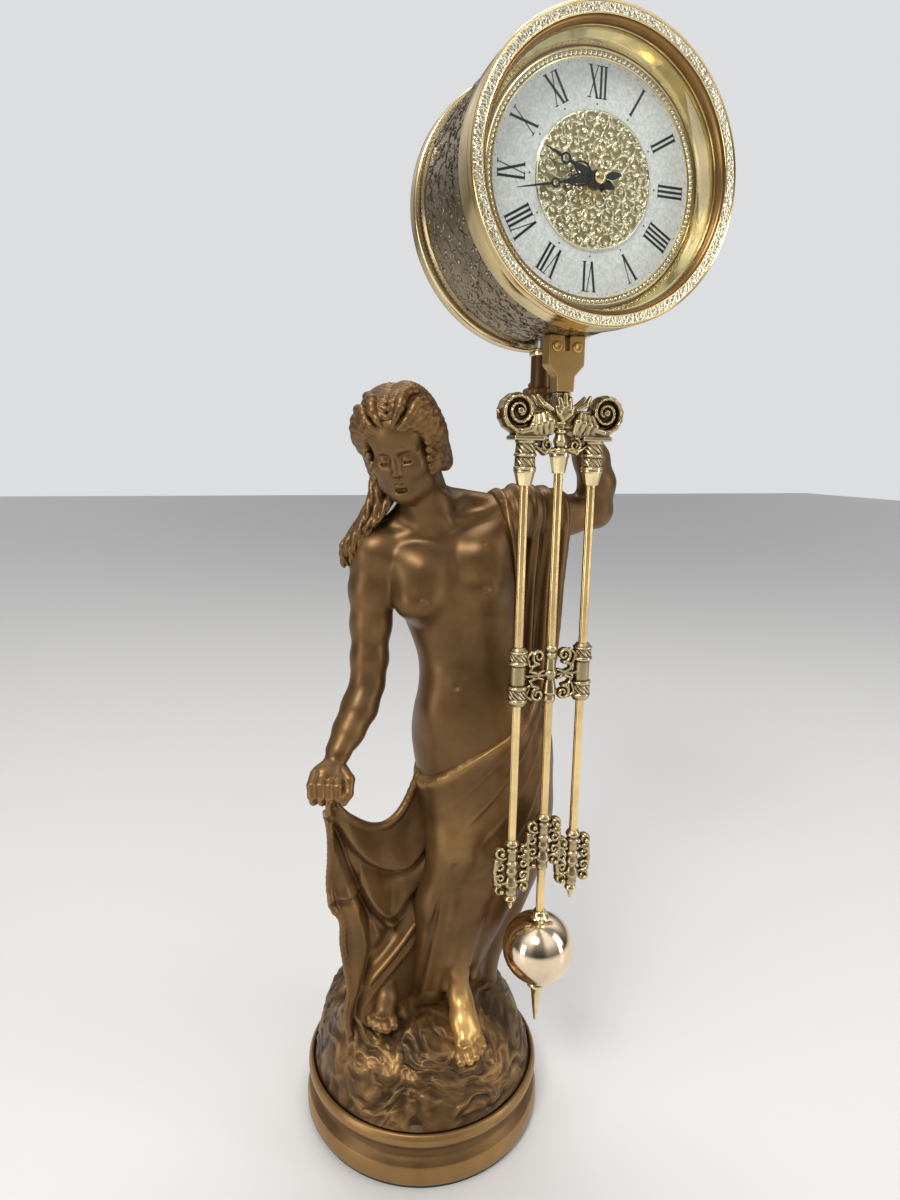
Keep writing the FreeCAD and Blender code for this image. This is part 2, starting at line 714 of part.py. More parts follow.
neck = place(cylinder("seat_neck", d.neck_r, d.neck_t), post_x, post_y, post_top)
beam = box("seat_beam", post_x - d.beam_half, post_x + d.beam_half, post_y - d.beam_reach,
           post_y + d.beam_tail, beam_bottom, beam_bottom + d.beam_t)
groove = doc.addObject("Part::Wedge", "seat_groove")
groove_half = d.groove_t * 1.25
for prop, size in (("Xmin", -groove_half), ("Xmax", groove_half), ("Zmin", ZERO),
                   ("Zmax", d.beam_reach + d.beam_tail + d.overrun * 2), ("X2min", ZERO), ("X2max", ZERO),
                   ("Z2min", ZERO), ("Z2max", d.beam_reach + d.beam_tail + d.overrun * 2),
                   ("Ymin", ZERO), ("Ymax", d.groove_t)):
    bind(groove, prop, size)
place(groove, post_x, post_y - d.beam_reach - d.overrun, beam_bottom + d.beam_t, V(1, 0, 0), -90.0)
keep(cut("seat", fuse("seat_block", [neck, beam]), groove), "knife_seat")

# Clock case: turned pieces on one axis, heights run back from the dial's front plane


def on_dial_axis(body, label):
    return place_back(keep(body, label), post_x, front_y, dial_z)


bezel_lip = d.band_wall / 3
bezel = turned("bezel", [
    (opening_r, bezel_lip),
    (opening_r + bezel_lip, ZERO + bezel_lip / 4),
    (bezel_r - bezel_lip * 2, 0),
    (bezel_r, bezel_lip),
    (bezel_r, d.bezel_t),
    (opening_r, d.bezel_t),
])
on_dial_axis(bezel, "bezel_flange")

recess = turned("recess", [
    (opening_r, d.bezel_t),
    (opening_r + d.recess_wall, d.bezel_t),
    (opening_r + d.recess_wall, d.glass_depth + d.recess_wall),
    (recess_r + d.recess_wall, d.dial_depth),
    (recess_r, d.dial_depth),
    (opening_r - d.glass_ledge, d.glass_depth),
    (opening_r, d.glass_depth),
])
on_dial_axis(recess, "recess_ring")

glass_r = opening_r
dome_r = (glass_r * glass_r + d.glass_rise * d.glass_rise) / (d.glass_rise * 2)
glass_apex = d.glass_depth - d.glass_rise - d.glass_t
glass_disc = place_back(cylinder("glass_disc", glass_r, d.glass_rise + d.glass_t), post_x,
                        front_y + glass_apex, dial_z)
outer_dome = doc.addObject("Part::Sphere", "outer_dome")
bind(outer_dome, "Radius", dome_r)
place(outer_dome, post_x, front_y + glass_apex + dome_r, dial_z)
inner_dome = doc.addObject("Part::Sphere", "inner_dome")
bind(inner_dome, "Radius", dome_r)
place(inner_dome, post_x, front_y + glass_apex + d.glass_t + dome_r, dial_z)
keep(cut("glass", common("glass_cap", [glass_disc, outer_dome]), inner_dome), "dial_glass")

band_in_r = bezel_r - d.band_wall
band = turned("band", [
    (band_in_r, d.bezel_t),
    (bezel_r, d.bezel_t),
    (bezel_r, case_from - bezel_lip),
    (bezel_r - bezel_lip, case_from),
    (band_in_r, case_from),
])
on_dial_axis(band, "polished_band")

bead_from = case_to - d.case_wall * 3
shell = turned("shell", [
    (case_in_r, case_from),
    (d.case_r, case_from),
    (d.case_r, bead_from),
    (d.case_r + d.case_wall / 2, bead_from + d.case_wall / 2),
    (d.case_r + d.case_wall / 2, bead_from + d.case_wall),
    (d.case_r, bead_from + d.case_wall * 1.5),
    (d.case_r, case_to),
    (case_in_r, case_to),
])
place_back(shell, post_x, front_y, dial_z)
slot = box("post_slot", post_x - d.slot_half, post_x + d.slot_half, post_y - d.slot_len / 2,
           post_y + d.slot_len / 2, dial_z - d.case_r - d.overrun, dial_z - case_in_r + d.overrun * 2)
keep(cut("slotted_shell", shell, slot), "case_band")

rim = turned("rim", [
    (rim_hole_r, case_to),
    (rim_r - d.case_wall / 2, case_to),
    (rim_r, case_to + d.case_wall / 2),
    (rim_r, rim_to - d.case_wall / 2),
    (rim_r - d.case_wall / 2, rim_to),
    (rim_hole_r + d.case_wall, rim_to),
    (rim_hole_r + d.case_wall, case_to + d.lug_t),
    (rim_hole_r, case_to + d.lug_t),
])
on_dial_axis(rim, "back_rim")

cover_r = rim_hole_r + d.case_wall - d.cover_gap
cover_from = case_to + d.lug_t
cover_disc = turned("cover_disc", [
    (0, cover_from),
    (cover_r, cover_from),
    (cover_r, cover_from + d.cover_t),
    (d.grip_r + d.grip_t, cover_from + d.cover_t),
    (d.grip_r, cover_from + d.cover_t + d.grip_t),
    (0, cover_from + d.cover_t + d.grip_t),
])
on_dial_axis(cover_disc, "back_cover")

# Dial: plate, raised centre disc and beaded ring

dial_from = d.dial_depth
dial_to = dial_from + d.dial_t
dial = turned("dial", [
    (d.bush_r, dial_from),
    (dial_r, dial_from),
    (dial_r, dial_to),
    (d.bush_r, dial_to),
])
on_dial_axis(dial, "dial_plate")
disc = turned("disc", [
    (d.nut_r, dial_from - d.disc_t),
    (d.disc_r, dial_from - d.disc_t),
    (d.disc_r, dial_from),
    (d.nut_r, dial_from),
])
on_dial_axis(disc, "dial_centre")
bead_in_r = bead_ring_r - d.bead_ring_w
bead = turned("bead", [
    (bead_in_r, dial_from - d.bead_ring_t / 2),
    ((bead_in_r + bead_ring_r) / 2, dial_from - d.bead_ring_t),
    (bead_ring_r, dial_from - d.bead_ring_t / 2),
    (bead_ring_r, dial_from),
    (bead_in_r, dial_from),
])
on_dial_axis(bead, "dial_bead_ring")

# Movement: a box behind the dial with a trough for its cell, and its hands

movement_y = front_y + dial_to
bush_end = dial_from - d.bush_t
pipe_hole = d.pipe_r + d.running_gap
arbor_hole = d.arbor_r + d.running_gap
pipe_front = bush_end - d.hand_gap
pipe_back = pipe_front + d.pipe_len
movement_box = box("movement_box", post_x - d.movement_half, post_x + d.movement_half, movement_y,
                   movement_y + d.movement_t, dial_z - d.movement_half, dial_z + d.movement_half)
movement_bush = place_back(cylinder("movement_bush", d.bush_r, d.bush_t + d.dial_t),
                           post_x, front_y + bush_end, dial_z)
pipe_bore = place_back(cylinder("pipe_bore", pipe_hole, d.pipe_len + d.running_gap),
                       post_x, front_y + pipe_front, dial_z)
arbor_bore = place_back(cylinder("arbor_bore", arbor_hole, d.movement_t + d.bush_t + d.overrun * 4),
                        post_x, front_y + bush_end - d.overrun, dial_z)
cell_y = movement_y + d.movement_t - d.cell_r + d.overrun / 2
cell_z = dial_z - d.cell_drop
trough = cylinder("cell_trough", d.cell_r + d.cover_gap, d.cell_len + d.cell_nub_t + d.cover_gap * 2)
place(trough, post_x - (d.cell_len + d.cell_nub_t) / 2 - d.cover_gap, cell_y, cell_z, V(0, 1, 0), 90.0)
trough_mouth = box("trough_mouth", post_x - (d.cell_len + d.cell_nub_t) / 2 - d.cover_gap,
                   post_x + (d.cell_len + d.cell_nub_t) / 2 + d.cover_gap, cell_y,
                   cell_y + d.cell_r * 2, cell_z - d.cell_r - d.cover_gap, cell_z + d.cell_r + d.cover_gap)
movement_holes = fuse("movement_holes", [pipe_bore, arbor_bore, trough, trough_mouth])
keep(cut("movement", fuse("movement_solid", [movement_box, movement_bush]), movement_holes),
     "movement_case")

nut = doc.addObject("Part::Prism", "nut_hex")
nut.Polygon = 6
bind(nut, "Circumradius", d.nut_r)
bind(nut, "Height", d.nut_t)
place_back(nut, post_x, front_y + dial_from - d.nut_t, dial_z)
nut_bore = place_back(cylinder("nut_bore", d.bush_r, d.nut_t + d.overrun * 2),
                      post_x, front_y + dial_from - d.nut_t - d.overrun, dial_z)
keep(cut("nut", nut, nut_bore), "dial_nut")

cell = cylinder("cell_body", d.cell_r, d.cell_len)
place(cell, post_x - (d.cell_len + d.cell_nub_t) / 2, cell_y, cell_z, V(0, 1, 0), 90.0)
nub = cylinder("cell_nub", d.cell_nub_r, d.cell_nub_t)
place(nub, post_x + (d.cell_len - d.cell_nub_t) / 2, cell_y, cell_z, V(0, 1, 0), 90.0)
keep(fuse("cell", [cell, nub]), "battery")

# Hands point up as drawn; each is then turned to the photographed time
MINUTE_TURN = 258.0
HOUR_TURN = 291.5
# half widths along a hand as shares of its length: place, half width
HAND_OUTLINE_SHARES = (
    (0.00, 0.070), (0.10, 0.085), (0.17, 0.035), (0.25, 0.120), (0.36, 0.150), (0.47, 0.115),
    (0.55, 0.040), (0.62, 0.085), (0.69, 0.045), (0.80, 0.030), (1.00, 0.006),
)
TAIL_OUTLINE_SHARES = ((0.0, 0.16), (0.35, 0.10), (0.60, 0.26), (0.85, 0.30), (1.0, 0.05))


def hand_shape(length, front, hub_r, bore_r, turn_deg, swell):
    """A pierced leaf hand with a round hub and a short tail, in the dial's plane."""
    half = [V(length * swell_w * swell, 0, length * way) for way, swell_w in HAND_OUTLINE_SHARES]
    tail_l = d.tail_len.value
    back = [V(tail_l * w, 0, -tail_l * way) for way, w in TAIL_OUTLINE_SHARES]
    right = list(reversed(back)) + half
    left = [V(-p.x, 0, p.z) for p in reversed(right)]
    face = Part.Face(Part.makePolygon(right + left + [right[0]]))
    blade = face.extrude(V(0, d.hand_t.value, 0))
    hole_r = length * 0.062 * swell
    for way_share in (0.36,):
        hole = Part.makeCylinder(hole_r, d.hand_t.value * 3, V(0, -d.hand_t.value, length * way_share),
                                 V(0, 1, 0))
        blade = blade.cut(hole)
    hub = Part.makeCylinder(hub_r, d.hand_t.value, V(0, 0, 0), V(0, 1, 0))
    bore = Part.makeCylinder(bore_r, d.hand_t.value * 3, V(0, -d.hand_t.value, 0), V(0, 1, 0))
    blade = blade.fuse(hub).cut(bore)
    blade.rotate(V(0, 0, 0), V(0, 1, 0), turn_deg)
    blade.translate(V(post_x.value, front, dial_z.value))
    return blade.removeSplitter()


hour_front = front_y + pipe_front
minute_front = hour_front - d.hand_gap - d.hand_t
hour_blade = hand_shape(d.hour_len.value, hour_front.value, d.nut_r.value * 0.7, d.pipe_r.value,
                        HOUR_TURN, 1.35)
keep(shaped("hour_blade", hour_blade), "hour_hand")
pipe = turned("pipe", [
    (arbor_hole, pipe_front),
    (d.pipe_r, pipe_front),
    (d.pipe_r, pipe_back),
    (arbor_hole, pipe_back),
])
on_dial_axis(pipe, "hour_pipe")
minute_blade = hand_shape(d.minute_len.value, minute_front.value, d.nut_r.value * 0.55,
                          d.arbor_r.value, MINUTE_TURN, 0.85)
keep(shaped("minute_blade", minute_blade), "minute_hand")
arbor_front = minute_front
knob_front = movement_y + d.movement_t + d.knob_gap
keep(place_back(cylinder("arbor", d.arbor_r, knob_front + d.knob_t - arbor_front), post_x, arbor_front,
                dial_z), "minute_arbor")
cap = turned("cap", [
    (0, 0),
    (d.cap_r - d.cap_t / 2, 0),
    (d.cap_r, d.cap_t / 2),
    (d.cap_r, d.cap_t),
    (0, d.cap_t),
])
place_back(keep(cap, "hand_cap"), post_x, minute_front - d.cap_t, dial_z)
knob = turned("knob", [
    (d.arbor_r, 0),
    (d.knob_r - d.cap_t / 2, 0),
    (d.knob_r, d.cap_t / 2),
    (d.knob_r, d.knob_t),
    (d.arbor_r, d.knob_t),
])
place_back(keep(knob, "set_knob"), post_x, knob_front, dial_z)

# Hanger: two cheeks and a crown plate that carry the knife, seated on the case's inside

hanger_from = post_y - d.beam_reach + d.overrun / 3
hanger_to = hanger_from + d.cheek_len
crown_z = pivot_z + d.knife_t
cheek_out = d.cheek_in + d.cheek_t
low_z = dial_z - d.case_r
left_cheek = box("left_cheek", post_x - cheek_out, post_x - d.cheek_in, hanger_from, hanger_to,
                 low_z, crown_z + d.crown_t)
right_cheek = box("right_cheek", post_x + d.cheek_in, post_x + cheek_out, hanger_from, hanger_to,
                  low_z, crown_z + d.crown_t)
crown_plate = box("crown_plate", post_x - cheek_out, post_x + cheek_out, hanger_from, hanger_to,
                  crown_z, crown_z + d.crown_t)
case_inside = place_back(cylinder("case_inside", case_in_r, case_to - case_from), post_x,
                         front_y + case_from, dial_z)
keep(common("hanger", [fuse("hanger_plates", [left_cheek, right_cheek, crown_plate]), case_inside]),
     "knife_hanger")
knife = doc.addObject("Part::Wedge", "knife")
for prop, size in (("Xmin", -d.knife_half), ("Xmax", d.knife_half), ("Zmin", ZERO),
                   ("Zmax", d.cheek_len), ("X2min", ZERO), ("X2max", ZERO),
                   ("Z2min", ZERO), ("Z2max", d.cheek_len), ("Ymin", ZERO), ("Ymax", d.knife_t)):
    bind(knife, prop, size)
place_back(keep(knife, "knife_edge"), post_x, hanger_from, crown_z)
drive = box("drive", post_x - d.drive_half, post_x + d.drive_half, hanger_to - d.drive_len, hanger_to,
            crown_z + d.crown_t, crown_z + d.crown_t + d.drive_t)
keep(drive, "swing_drive")

# Block under the case, with its slot and two screws

block_top = low_z + d.overrun / 2
block_low = pivot_z - d.block_drop * 1.95
block_y0 = plane_y - d.block_deep / 2
block_y1 = plane_y + d.block_deep / 2
waist_z = block_low + (d.block_half - d.stem_half)
stem_low = block_low - d.stem_t
block_body = doc.addObject("PartDesign::Body", "block_body")
block_points = [
    (d.overrun + d.block_half - d.stem_half, d.overrun),
    (d.overrun + d.block_half + d.stem_half, d.overrun),
    (d.overrun + d.block_half + d.stem_half, d.overrun + d.stem_t),
    (d.overrun + d.block_half * 2, d.overrun + waist_z - stem_low),
    (d.overrun + d.block_half * 2, d.overrun + block_top - stem_low),
    (d.overrun, d.overrun + block_top - stem_low),
    (d.overrun, d.overrun + waist_z - stem_low),
    (d.overrun + d.block_half - d.stem_half, d.overrun + d.stem_t),
]
block_sketch = profile_sketch(block_body, "block_outline", block_points)
block_pad = block_body.newObject("PartDesign::Pad", "block_pad")
block_pad.Profile = block_sketch
bind(block_pad, "Length", d.block_deep)
block_pad.Reversed = True
block_body.Tip = block_pad
place(block_body, post_x - d.block_half - d.overrun, block_y0, stem_low - d.overrun)
case_round = place_back(cylinder("case_round", d.case_r, case_to - case_from), post_x,
                        front_y + case_from, dial_z)
block_slot = box("block_slot", post_x - d.block_slot_half, post_x + d.block_slot_half,
                 block_y0 - d.overrun, block_y1 + d.overrun, block_top - d.overrun - d.block_slot_t,
                 block_top + d.overrun)
screw_z = block_top - d.block_slot_t
screw_holes = []
screws = []
for side in (-1, 1):
    tag = "left" if side < 0 else "right"
    screw_x = post_x + d.screw_out * side
    screw_holes.append(place_back(cylinder(tag + "_screw_hole", d.screw_r, d.screw_len),
                                  screw_x, block_y0, screw_z))
    shank = place_back(cylinder(tag + "_shank", d.screw_r, d.screw_len), screw_x, block_y0, screw_z)
    head = place_back(cylinder(tag + "_screw_head", d.screw_head_r, d.screw_head_t),
                      screw_x, block_y0 - d.screw_head_t, screw_z)
    screws.append(fuse(tag + "_screw", [shank, head]))
keep(cut("block", block_body, fuse("block_cutters", [case_round, block_slot] + screw_holes)),
     "pendulum_block")
screw_pair = doc.addObject("Part::Compound", "screw_pair")
screw_pair.Links = screws
keep(screw_pair, "block_screws")

# Pendulum castings: scrolls, collars and balusters joined into one casting each

axis_x = post_x.value
axis_y = plane_y.value
cast_deep = d.cast_t.value
rod_gap_x = d.rod_out.value
SCROLL_STEP_DEG = 45.0


def spiral_face(x, z, radius, turns, start_deg, hand, wide_share):
    """A ribbon that winds inwards, drawn in the pendulum's plane."""
    steps = int(turns * 360 / SCROLL_STEP_DEG)
    outer = []
    inner = []
    for step in range(steps + 1):
        angle = math.radians(start_deg + hand * step * SCROLL_STEP_DEG)
        reach = radius * (1 - 0.62 * step / steps)
        width = radius * wide_share * (1 - 0.45 * step / steps)
        way = V(math.cos(angle), 0, math.sin(angle))
        outer.append(V(x, 0, z) + way * reach)
        inner.append(V(x, 0, z) + way * (reach - width))
    far = Part.BSplineCurve()
    far.interpolate(Points=outer)
    near = Part.BSplineCurve()
    near.interpolate(Points=list(reversed(inner)))
    rim_edges = [far.toShape(), Part.makeLine(outer[-1], inner[-1]), near.toShape(),
                 Part.makeLine(inner[0], outer[0])]
    return Part.Face(Part.Wire(rim_edges))


def through(face, deep):
    """A flat face made into a plate that is centred on the swing plane."""
    plate = face.copy()
    plate.translate(V(0, axis_y - deep / 2, 0))
    return plate.extrude(V(0, deep, 0))


def scroll(x, z, radius, start_deg, hand, turns=1.5, wide_share=0.30, deep_share=1.0):
    """A scroll with its sunk web and its round eye."""
    ribbon = through(spiral_face(x, z, radius, turns, start_deg, hand, wide_share), cast_deep * deep_share)
    web = Part.makeCylinder(radius * 0.86, cast_deep * deep_share * 0.5,
                            V(x, axis_y - cast_deep * deep_share * 0.25, z), V(0, 1, 0))
    eye = Part.makeCylinder(radius * 0.22, cast_deep * deep_share * 1.1,
                            V(x, axis_y - cast_deep * deep_share * 0.55, z), V(0, 1, 0))
    return [ribbon, web, eye]


def lathe(x, top, height, radius, outline_shares):
    """A turned upright piece; its outline is shares of its height, from the top, and of its radius."""
    core = d.rod_r.value * 1.25
    points = [V(x, axis_y, top)]
    for down, out in outline_shares:
        points.append(V(x + max(radius * out, core), axis_y, top - height * down))
    points.append(V(x, axis_y, top - height))
    points.append(points[0])
    return Part.Face(Part.makePolygon(points)).revolve(V(x, axis_y, 0), V(0, 0, 1), 360)


def slab(x, top, half, height, deep):
    return Part.makeBox(half * 2, deep, height, V(x - half, axis_y - deep / 2, top - height))


COLLAR_SHARES = (
    (0.00, 0.92), (0.04, 1.00), (0.10, 1.00), (0.13, 0.84), (0.40, 0.84), (0.43, 1.02), (0.50, 1.02),
    (0.53, 0.86), (0.84, 0.86), (0.88, 1.00), (0.97, 1.00), (1.00, 0.94),
)
BALUSTER_SHARES = (
    (0.00, 0.55), (0.06, 0.80), (0.12, 0.80), (0.18, 0.45), (0.34, 0.95), (0.50, 0.45), (0.56, 0.75),
    (0.62, 0.45), (0.80, 1.00), (0.94, 0.60), (1.00, 0.60),
)
stem_end = stem_low.value
capital_deep = d.capital_t.value
abacus_top = stem_end - capital_deep * 0.69
collar_top = abacus_top - d.abacus_t.value
collar_low = stem_low - d.capital_t - d.ferrule_t * 0.9

capital = []
palmette_shares = ((-0.24, 0.0), (0.24, 0.0), (0.40, 0.22), (0.26, 0.48), (-0.26, 0.48), (-0.40, 0.22))
palmette = [V(axis_x + rod_gap_x * out, 0, stem_end - capital_deep * down) for out, down in palmette_shares]
capital.append(through(Part.Face(Part.makePolygon(palmette + palmette[:1])), cast_deep * 0.8))
yoke_top = stem_end - capital_deep * 0.40
capital.append(slab(axis_x, yoke_top, d.volute_out.value, capital_deep * 0.24, cast_deep * 0.55))
for side in (-1, 1):
    volute_x = axis_x + side * d.volute_out.value
    volute_z = stem_end - capital_deep * 0.315
    start = 180.0 if side > 0 else 0.0
    capital += scroll(volute_x, volute_z, d.volute_r.value, start + side * 60, -side, 1.75, 0.30, 1.0)
    capital += scroll(axis_x + side * rod_gap_x * 0.50, stem_end - capital_deep * 0.50,
                      d.volute_r.value * 0.45, start, side, 1.25, 0.36, 0.85)
    capital += scroll(axis_x + side * rod_gap_x * 0.42, stem_end - capital_deep * 0.80,
                      d.volute_r.value * 0.36, start, -side, 1.0, 0.40, 0.75)
    capital.append(slab(axis_x + side * rod_gap_x, abacus_top + d.abacus_t.value * 2,
                        d.abacus_half.value * 0.85, d.abacus_t.value * 2.5, cast_deep * 0.8))
    capital.append(slab(axis_x + side * rod_gap_x, abacus_top, d.abacus_half.value, d.abacus_t.value,
                        cast_deep * 1.1))
    capital.append(lathe(axis_x + side * rod_gap_x, collar_top, collar_top - collar_low.value,
                         d.collar_r.value, COLLAR_SHARES))
capital.append(lathe(axis_x, stem_end - capital_deep * 0.45, capital_deep * 0.52, d.collar_r.value * 0.72,
                     BALUSTER_SHARES))
centre_ferrule_top = stem_low - d.capital_t * 0.97

lattice_top = pivot_z - d.lattice_drop - d.stem_t * 5
lattice = []
lattice_deep = d.lattice_t.value
for side in (-1, 1):
    lattice.append(lathe(axis_x + side * rod_gap_x, lattice_top.value, lattice_deep, d.collar_r.value * 0.96,
                         tuple((down / 2, out) for down, out in COLLAR_SHARES)
                         + tuple((0.5 + down / 2, out) for down, out in COLLAR_SHARES)))
    for low in (0, 1):
        for inner in (0, 1):
            place_share = (0.16, 0.36, 0.64, 0.84)[low * 2 + inner]
            out_share = 0.52 if inner == low else 0.38
            start = 90.0 if inner == low else 270.0
            lattice += scroll(axis_x + side * rod_gap_x * out_share, lattice_top.value - lattice_deep * place_share,
                              lattice_deep * 0.135, start, side * (1 if low else -1), 1.0, 0.40, 0.62)
lattice.append(slab(axis_x, lattice_top.value - lattice_deep * 0.47, rod_gap_x, lattice_deep * 0.06,
                    cast_deep * 0.4))
lattice.append(lathe(axis_x, lattice_top.value, lattice_deep * 0.5, d.collar_r.value * 0.66, BALUSTER_SHARES))
lattice.append(lathe(axis_x, lattice_top.value - lattice_deep * 0.5, lattice_deep * 0.5, d.collar_r.value * 0.66,
                     BALUSTER_SHARES))

crown_top = pivot_z - d.crown_drop - d.stem_t * 5
crown_deep = d.crown_h.value
crown_step = crown_deep * 0.28
crown = []
for column in (-1, 0, 1):
    column_x = axis_x + column * rod_gap_x
    column_top = crown_top.value - (crown_step if column else 0.0)
    column_deep = crown_deep * 0.74
    crown.append(lathe(column_x, column_top, column_deep, d.collar_r.value * 0.80, BALUSTER_SHARES))
    for side in (-1, 1):
        for low in (0, 1):
            crown += scroll(column_x + side * rod_gap_x * 0.35, column_top - column_deep * (0.30 + 0.42 * low),
                            crown_deep * 0.115, 90.0 if low else 270.0, side * (1 if low else -1),
                            1.25, 0.38, 0.80)
crown_side_low = crown_top - d.crown_h * (0.28 + 0.74)

# Rods run from the ferrules through the lattice into the crown and the bob
side_rod_low = crown_top - d.crown_h * 0.28 - d.socket
ferrule_top = collar_low
side_rod_top = ferrule_top - d.ferrule_t + d.socket
bob_z = pivot_z - d.bob_drop
centre_low = bob_z + d.bob_r - d.socket
centre_top = centre_ferrule_top - d.centre_ferrule_t + d.socket
rods = []
for label, out, low, high in (("rod_left", -1, side_rod_low, side_rod_top),
                              ("rod_right", 1, side_rod_low, side_rod_top),
                              ("rod_centre", 0, centre_low, centre_top)):
    rod = cylinder(label + "_bar", d.rod_r, high - low)
    place(keep(rod, label), post_x + d.rod_out * out, plane_y, low)
    rods.append(Part.makeCylinder(d.rod_r.value, (high - low).value,
                                  V(axis_x + out * rod_gap_x, axis_y, low.value)))


def bored(shapes):
    """A casting made one solid and bored for the rods."""
    whole = joined(shapes)
    for rod_shape in rods:
        whole = whole.cut(rod_shape)
    return solid_of(whole)


keep(shaped("capital", bored(capital)), "capital_casting")
keep(shaped("lattice", bored(lattice)), "middle_lattice")
keep(shaped("crown", bored(crown)), "lower_crown")


def ferrule(tag, x, top, height, wide, tip):
    piece = turned(tag, [
        (0, 0),
        (tip, 0),
        (tip + d.collar_lip / 4, height * 0.18),
        (wide * 0.92, height * 0.82),
        (wide, height * 0.86),
        (wide, height),
        (0, height),
    ])
    place(piece, x, plane_y, top - height)
    bore = place(cylinder(tag + "_bore", d.rod_r, d.socket + d.overrun), x, plane_y,
                 top - height - d.overrun)
    return cut(tag + "_bored", piece, bore)


ferrules = [ferrule(tag, post_x + d.rod_out * side, ferrule_top, d.ferrule_t, d.ferrule_r, d.ferrule_tip_r)
            for tag, side in (("left_ferrule", -1), ("right_ferrule", 1))]
ferrules.append(ferrule("centre_ferrule", post_x, centre_ferrule_top, d.centre_ferrule_t,
                        d.ferrule_r * 0.92, d.ferrule_tip_r * 0.9))
ferrule_set = doc.addObject("Part::Compound", "ferrule_set")
ferrule_set.Links = ferrules
keep(ferrule_set, "rod_ferrules")

drops = []
for tag, side in (("left_drop", -1), ("right_drop", 1)):
    drop = turned(tag, [
        (0, 0),
        (d.drop_r * 0.22, d.drop_t * 0.10),
        (d.drop_r * 0.62, d.drop_t * 0.58),
        (d.drop_r, d.drop_t * 0.76),
        (d.drop_r * 0.8, d.drop_t),
        (0, d.drop_t),
    ])
    place(drop, post_x + d.rod_out * side, plane_y, crown_side_low - d.drop_t)
    drops.append(drop)
drop_pair = doc.addObject("Part::Compound", "drop_pair")
drop_pair.Links = drops
keep(drop_pair, "drop_finials")

bob = doc.addObject("Part::Sphere", "bob_ball")
bind(bob, "Radius", d.bob_r)
place(bob, post_x, plane_y, bob_z)
bob_bore = place(cylinder("bob_bore", d.rod_r, d.socket + d.overrun), post_x, plane_y, centre_low)
keep(cut("bob", bob, bob_bore), "bob")
finial_seat = d.finial_r * 0.18
finial = turned("finial", [
    (0, 0),
    (d.finial_r * 0.16, d.finial_t * 0.04),
    (d.finial_r * 0.42, d.finial_t * 0.50),
    (d.finial_r * 0.62, d.finial_t * 0.80),
    (d.finial_r, d.finial_t * 0.86),
    (d.finial_r, d.finial_t + finial_seat),
    (0, d.finial_t + finial_seat),
])
place(finial, post_x, plane_y, bob_z - d.bob_r - d.finial_t)
bob_round = doc.addObject("Part::Sphere", "bob_round")
bind(bob_round, "Radius", d.bob_r)
place(bob_round, post_x, plane_y, bob_z)
keep(cut("finial_seated", finial, bob_round), "bob_finial")

# Check every piece, then write one file for each node

doc.recompute()
faults = []
for item in doc.Objects:
    state = [word for word in item.State if word in ("Invalid", "Error")]
    if state:
        faults.append("%s %s" % (item.Label, state))
for label, item in nodes.items():
    if item.Shape.isNull() or not item.Shape.isValid() or not item.Shape.Solids:
        faults.append("%s has no sound solid" % label)
if faults:
    raise RuntimeError("; ".join(faults))
os.makedirs("parts", exist_ok=True)
for label, item in nodes.items():
    item.Shape.exportStep("parts/%s.step" % label)
    box_of = item.Shape.optimalBoundingBox(False)
    print("%-18s solids %d volume %9.1f  x %7.1f %7.1f  y %7.1f %7.1f  z %7.1f %7.1f" % (
        label, len(item.Shape.Solids), item.Shape.Volume, box_of.XMin, box_of.XMax, box_of.YMin,
        box_of.YMax, box_of.ZMin, box_of.ZMax))
print(len(nodes), "nodes, pivot", post_x.value, plane_y.value, pivot_z.value)
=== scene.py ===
import itertools
import math

import bpy
import numpy as np
import openvdb
from mathutils import Matrix, Vector


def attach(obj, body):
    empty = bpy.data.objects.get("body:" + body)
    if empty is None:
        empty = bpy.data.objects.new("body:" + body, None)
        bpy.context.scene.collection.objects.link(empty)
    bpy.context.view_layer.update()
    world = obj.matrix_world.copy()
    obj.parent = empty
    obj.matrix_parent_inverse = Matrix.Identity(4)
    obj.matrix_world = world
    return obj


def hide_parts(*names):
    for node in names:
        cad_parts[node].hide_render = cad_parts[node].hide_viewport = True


# Looks of a swinging figure clock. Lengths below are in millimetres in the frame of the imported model.

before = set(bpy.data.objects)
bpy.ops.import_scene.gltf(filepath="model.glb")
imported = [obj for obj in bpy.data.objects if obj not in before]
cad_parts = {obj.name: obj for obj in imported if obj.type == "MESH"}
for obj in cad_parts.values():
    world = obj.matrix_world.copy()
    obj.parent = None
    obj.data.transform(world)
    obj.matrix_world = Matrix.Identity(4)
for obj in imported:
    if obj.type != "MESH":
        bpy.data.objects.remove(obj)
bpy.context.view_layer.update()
MM = 0.001
FINE = 1.0

# middle rod of the pendulum in x and y, middle of the dial, and the post that the raised hand holds
AX, AY = 55.024, -45.996
DIAL = (AX, -84.496, 520.872)
POST = (AX, -20.996, 0)


# materials

